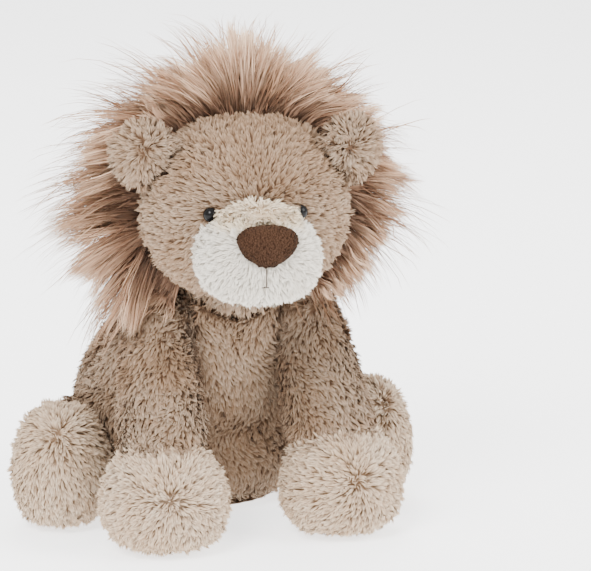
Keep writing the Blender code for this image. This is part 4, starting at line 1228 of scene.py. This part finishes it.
# Tail: a thin stuffed tube of beige plush from low on the back, lying on the floor, with a
# tuft of the mane's long tan hair on its end. Nothing of it shows from the front.
TAIL_PILE_DEPTH = 0.0032
TUFT_START = np.array([0.0715, 0.1680, 0.0130])
TUFT_TIP = np.array([0.1375, 0.1785, 0.0110])
TUFT_RADIUS = 0.0150
TUFT_CORE = 0.006
TUFT_HAIRS = 6000
TUFT_LOCKS = 60
TUFT_OFF_FLOOR = 0.0010
HAIR_STRAY = 0.0020
LOCK_STRAY = 0.0048


def tail_way(places, ups):
    """Back from the root, then round with the tail to its tip."""
    turned_share = clipped((places[:, 1] - 0.125) / 0.03)[:, None]
    back, aside = np.array([0.1, 1.0, -0.1]), np.array([1.0, 0.1, 0.0])
    return unit(back * (1.0 - turned_share) + aside * turned_share)


tail_balls = ((TAIL_ROOT, TAIL_BALL),)
tail_skin = cloth_skin(["tail_cover"], 0.002, 4, TAIL_PILE_DEPTH, tail_balls, TORSO_SOLIDS)
sheets = furred(
    tail_skin, 121, spread=1.1e-6, way=tail_way, length=0.0076, rise=0.35,
    keep=clear_of(in_socket), turn=0.5,
)
soft_piece("tail_plush", sheets, beige_plush, "tail", ["tail_cover"])

rng = np.random.default_rng(131)
tuft_run = unit(TUFT_TIP - TUFT_START)
tuft_side = unit(np.cross(tuft_run, np.array([0.0, 0.0, 1.0])))
tuft_up = np.cross(tuft_side, tuft_run)
turn = rng.random(TUFT_HAIRS) * math.tau
ups = tuft_side * np.cos(turn)[:, None] + tuft_up * np.sin(turn)[:, None]
first = rng.random(TUFT_HAIRS) ** 1.3 * 0.62
last = first + rng.uniform(0.30, 0.48, TUFT_HAIRS)
full = TUFT_RADIUS * rng.uniform(0.70, 1.0, TUFT_HAIRS)
lock = rng.integers(0, TUFT_LOCKS, TUFT_HAIRS)
stray = rng.normal(0.0, HAIR_STRAY, (TUFT_HAIRS, 3))
stray = stray + rng.normal(0.0, LOCK_STRAY, (TUFT_LOCKS, 3))[lock]
last += rng.normal(0.0, 0.07, TUFT_LOCKS)[lock]
path = []
for step in range(HAIR_STEPS + 1):
    part = step / HAIR_STEPS
    along = first + (last - first) * part
    bulge = full * np.sin(math.pi * np.clip(along, 0.05, 0.97)) ** 0.75
    radius = (TUFT_CORE * (1.0 - part) + bulge * part**0.7)[:, None]
    path.append(TUFT_START + (TUFT_TIP - TUFT_START) * along[:, None] + ups * radius + stray * part)
path = np.array(path)
path[:, :, 2] = np.maximum(path[:, :, 2], TUFT_OFF_FLOOR)
tone = 0.04 + 0.26 * patchy(path[3], 0.006, 132)
tone = tone + 0.22 * rng.random(TUFT_LOCKS)[lock] + 0.22 * rng.random(TUFT_HAIRS)
sheets = [ribbons(path, np.broadcast_to(ups, path[1:].shape), HAIR_WIDTH, tone, rng)]
soft_piece("tail_tuft_hair", sheets, long_pile, "tail", ["tail_tuft"])

# Seat panel: an oval of plain woven cloth under the seat that closes the bag of beans. It is
# sewn to the plush by its rim, which turns up a little into the pile.
SEAT_SHARE = 0.93
SEAT_CLOTH = 0.0008
SEAT_RISE = 0.0007
SEAT_PUCKER = 0.0003
SEAT_RIM_SHARE = 0.93
SEAT_RIM_RISE = 0.0016
SEAT_RINGS = 24
SEAT_SPOKES = 96
woven_cloth, nodes, links, shader = new_finish("plain woven cloth", 0.15, Roughness=0.9)
place = new_node(nodes, "TexCoord")
crossing = new_node(nodes, "Mix", Factor=0.5)
for direction, side in (("X", "A"), ("Y", "B")):
    threads = new_node(nodes, "TexWave", Scale=260.0, Distortion=0.6)
    threads.bands_direction = direction
    links.new(place.outputs["Object"], threads.inputs["Vector"])
    links.new(threads.outputs["Fac"], crossing.inputs[side])
cloth_tone = colour_ramp(nodes, (0.0, (0.14, 0.095, 0.065)), (1.0, (0.30, 0.225, 0.165)))
links.new(crossing.outputs["Result"], cloth_tone.inputs["Fac"])
links.new(cloth_tone.outputs["Color"], shader.inputs["Base Color"])
weave = new_node(nodes, "Bump", Strength=0.4, Distance=0.0002)
links.new(crossing.outputs["Result"], weave.inputs["Height"])
links.new(weave.outputs["Normal"], shader.inputs["Normal"])

seat_low, seat_high = (np.array(corner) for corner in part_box("seat_panel"))
seat_half = (seat_high - seat_low) / 2.0 * SEAT_SHARE
seat_middle = (seat_low + seat_high) / 2.0
bm = bmesh.new()
rings = []
for i in range(1, SEAT_RINGS + 1):
    reach = i / SEAT_RINGS
    rim = max(reach - SEAT_RIM_SHARE, 0.0) / (1.0 - SEAT_RIM_SHARE)
    ring = []
    for j in range(SEAT_SPOKES):
        turn = math.tau * j / SEAT_SPOKES
        pucker = math.sin(turn * 31.0) * reach**6 + math.sin(turn * 5.0 + 9.0 * reach)
        ring.append(bm.verts.new((
            seat_middle[0] + seat_half[0] * reach * math.cos(turn),
            seat_middle[1] + seat_half[1] * reach * math.sin(turn),
            SEAT_CLOTH + SEAT_RISE + SEAT_PUCKER * pucker + SEAT_RIM_RISE * rim,
        )))
    rings.append(ring)
heart = bm.verts.new((seat_middle[0], seat_middle[1], SEAT_CLOTH + SEAT_RISE))
for j in range(SEAT_SPOKES):
    k = (j + 1) % SEAT_SPOKES
    bm.faces.new((heart, rings[0][j], rings[0][k]))
    for inner, outer in zip(rings, rings[1:]):
        bm.faces.new((inner[j], outer[j], outer[k], inner[k]))
seat_cloth = placed("seat_cloth", mesh_from("seat_cloth", bm))
seat_cloth.data.shade_smooth()
seat_cloth.data.materials.append(woven_cloth)
thick = seat_cloth.modifiers.new("thick", "SOLIDIFY")
thick.thickness = SEAT_CLOTH
thick.offset = -1.0
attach(seat_cloth, "torso")
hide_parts("seat_panel")
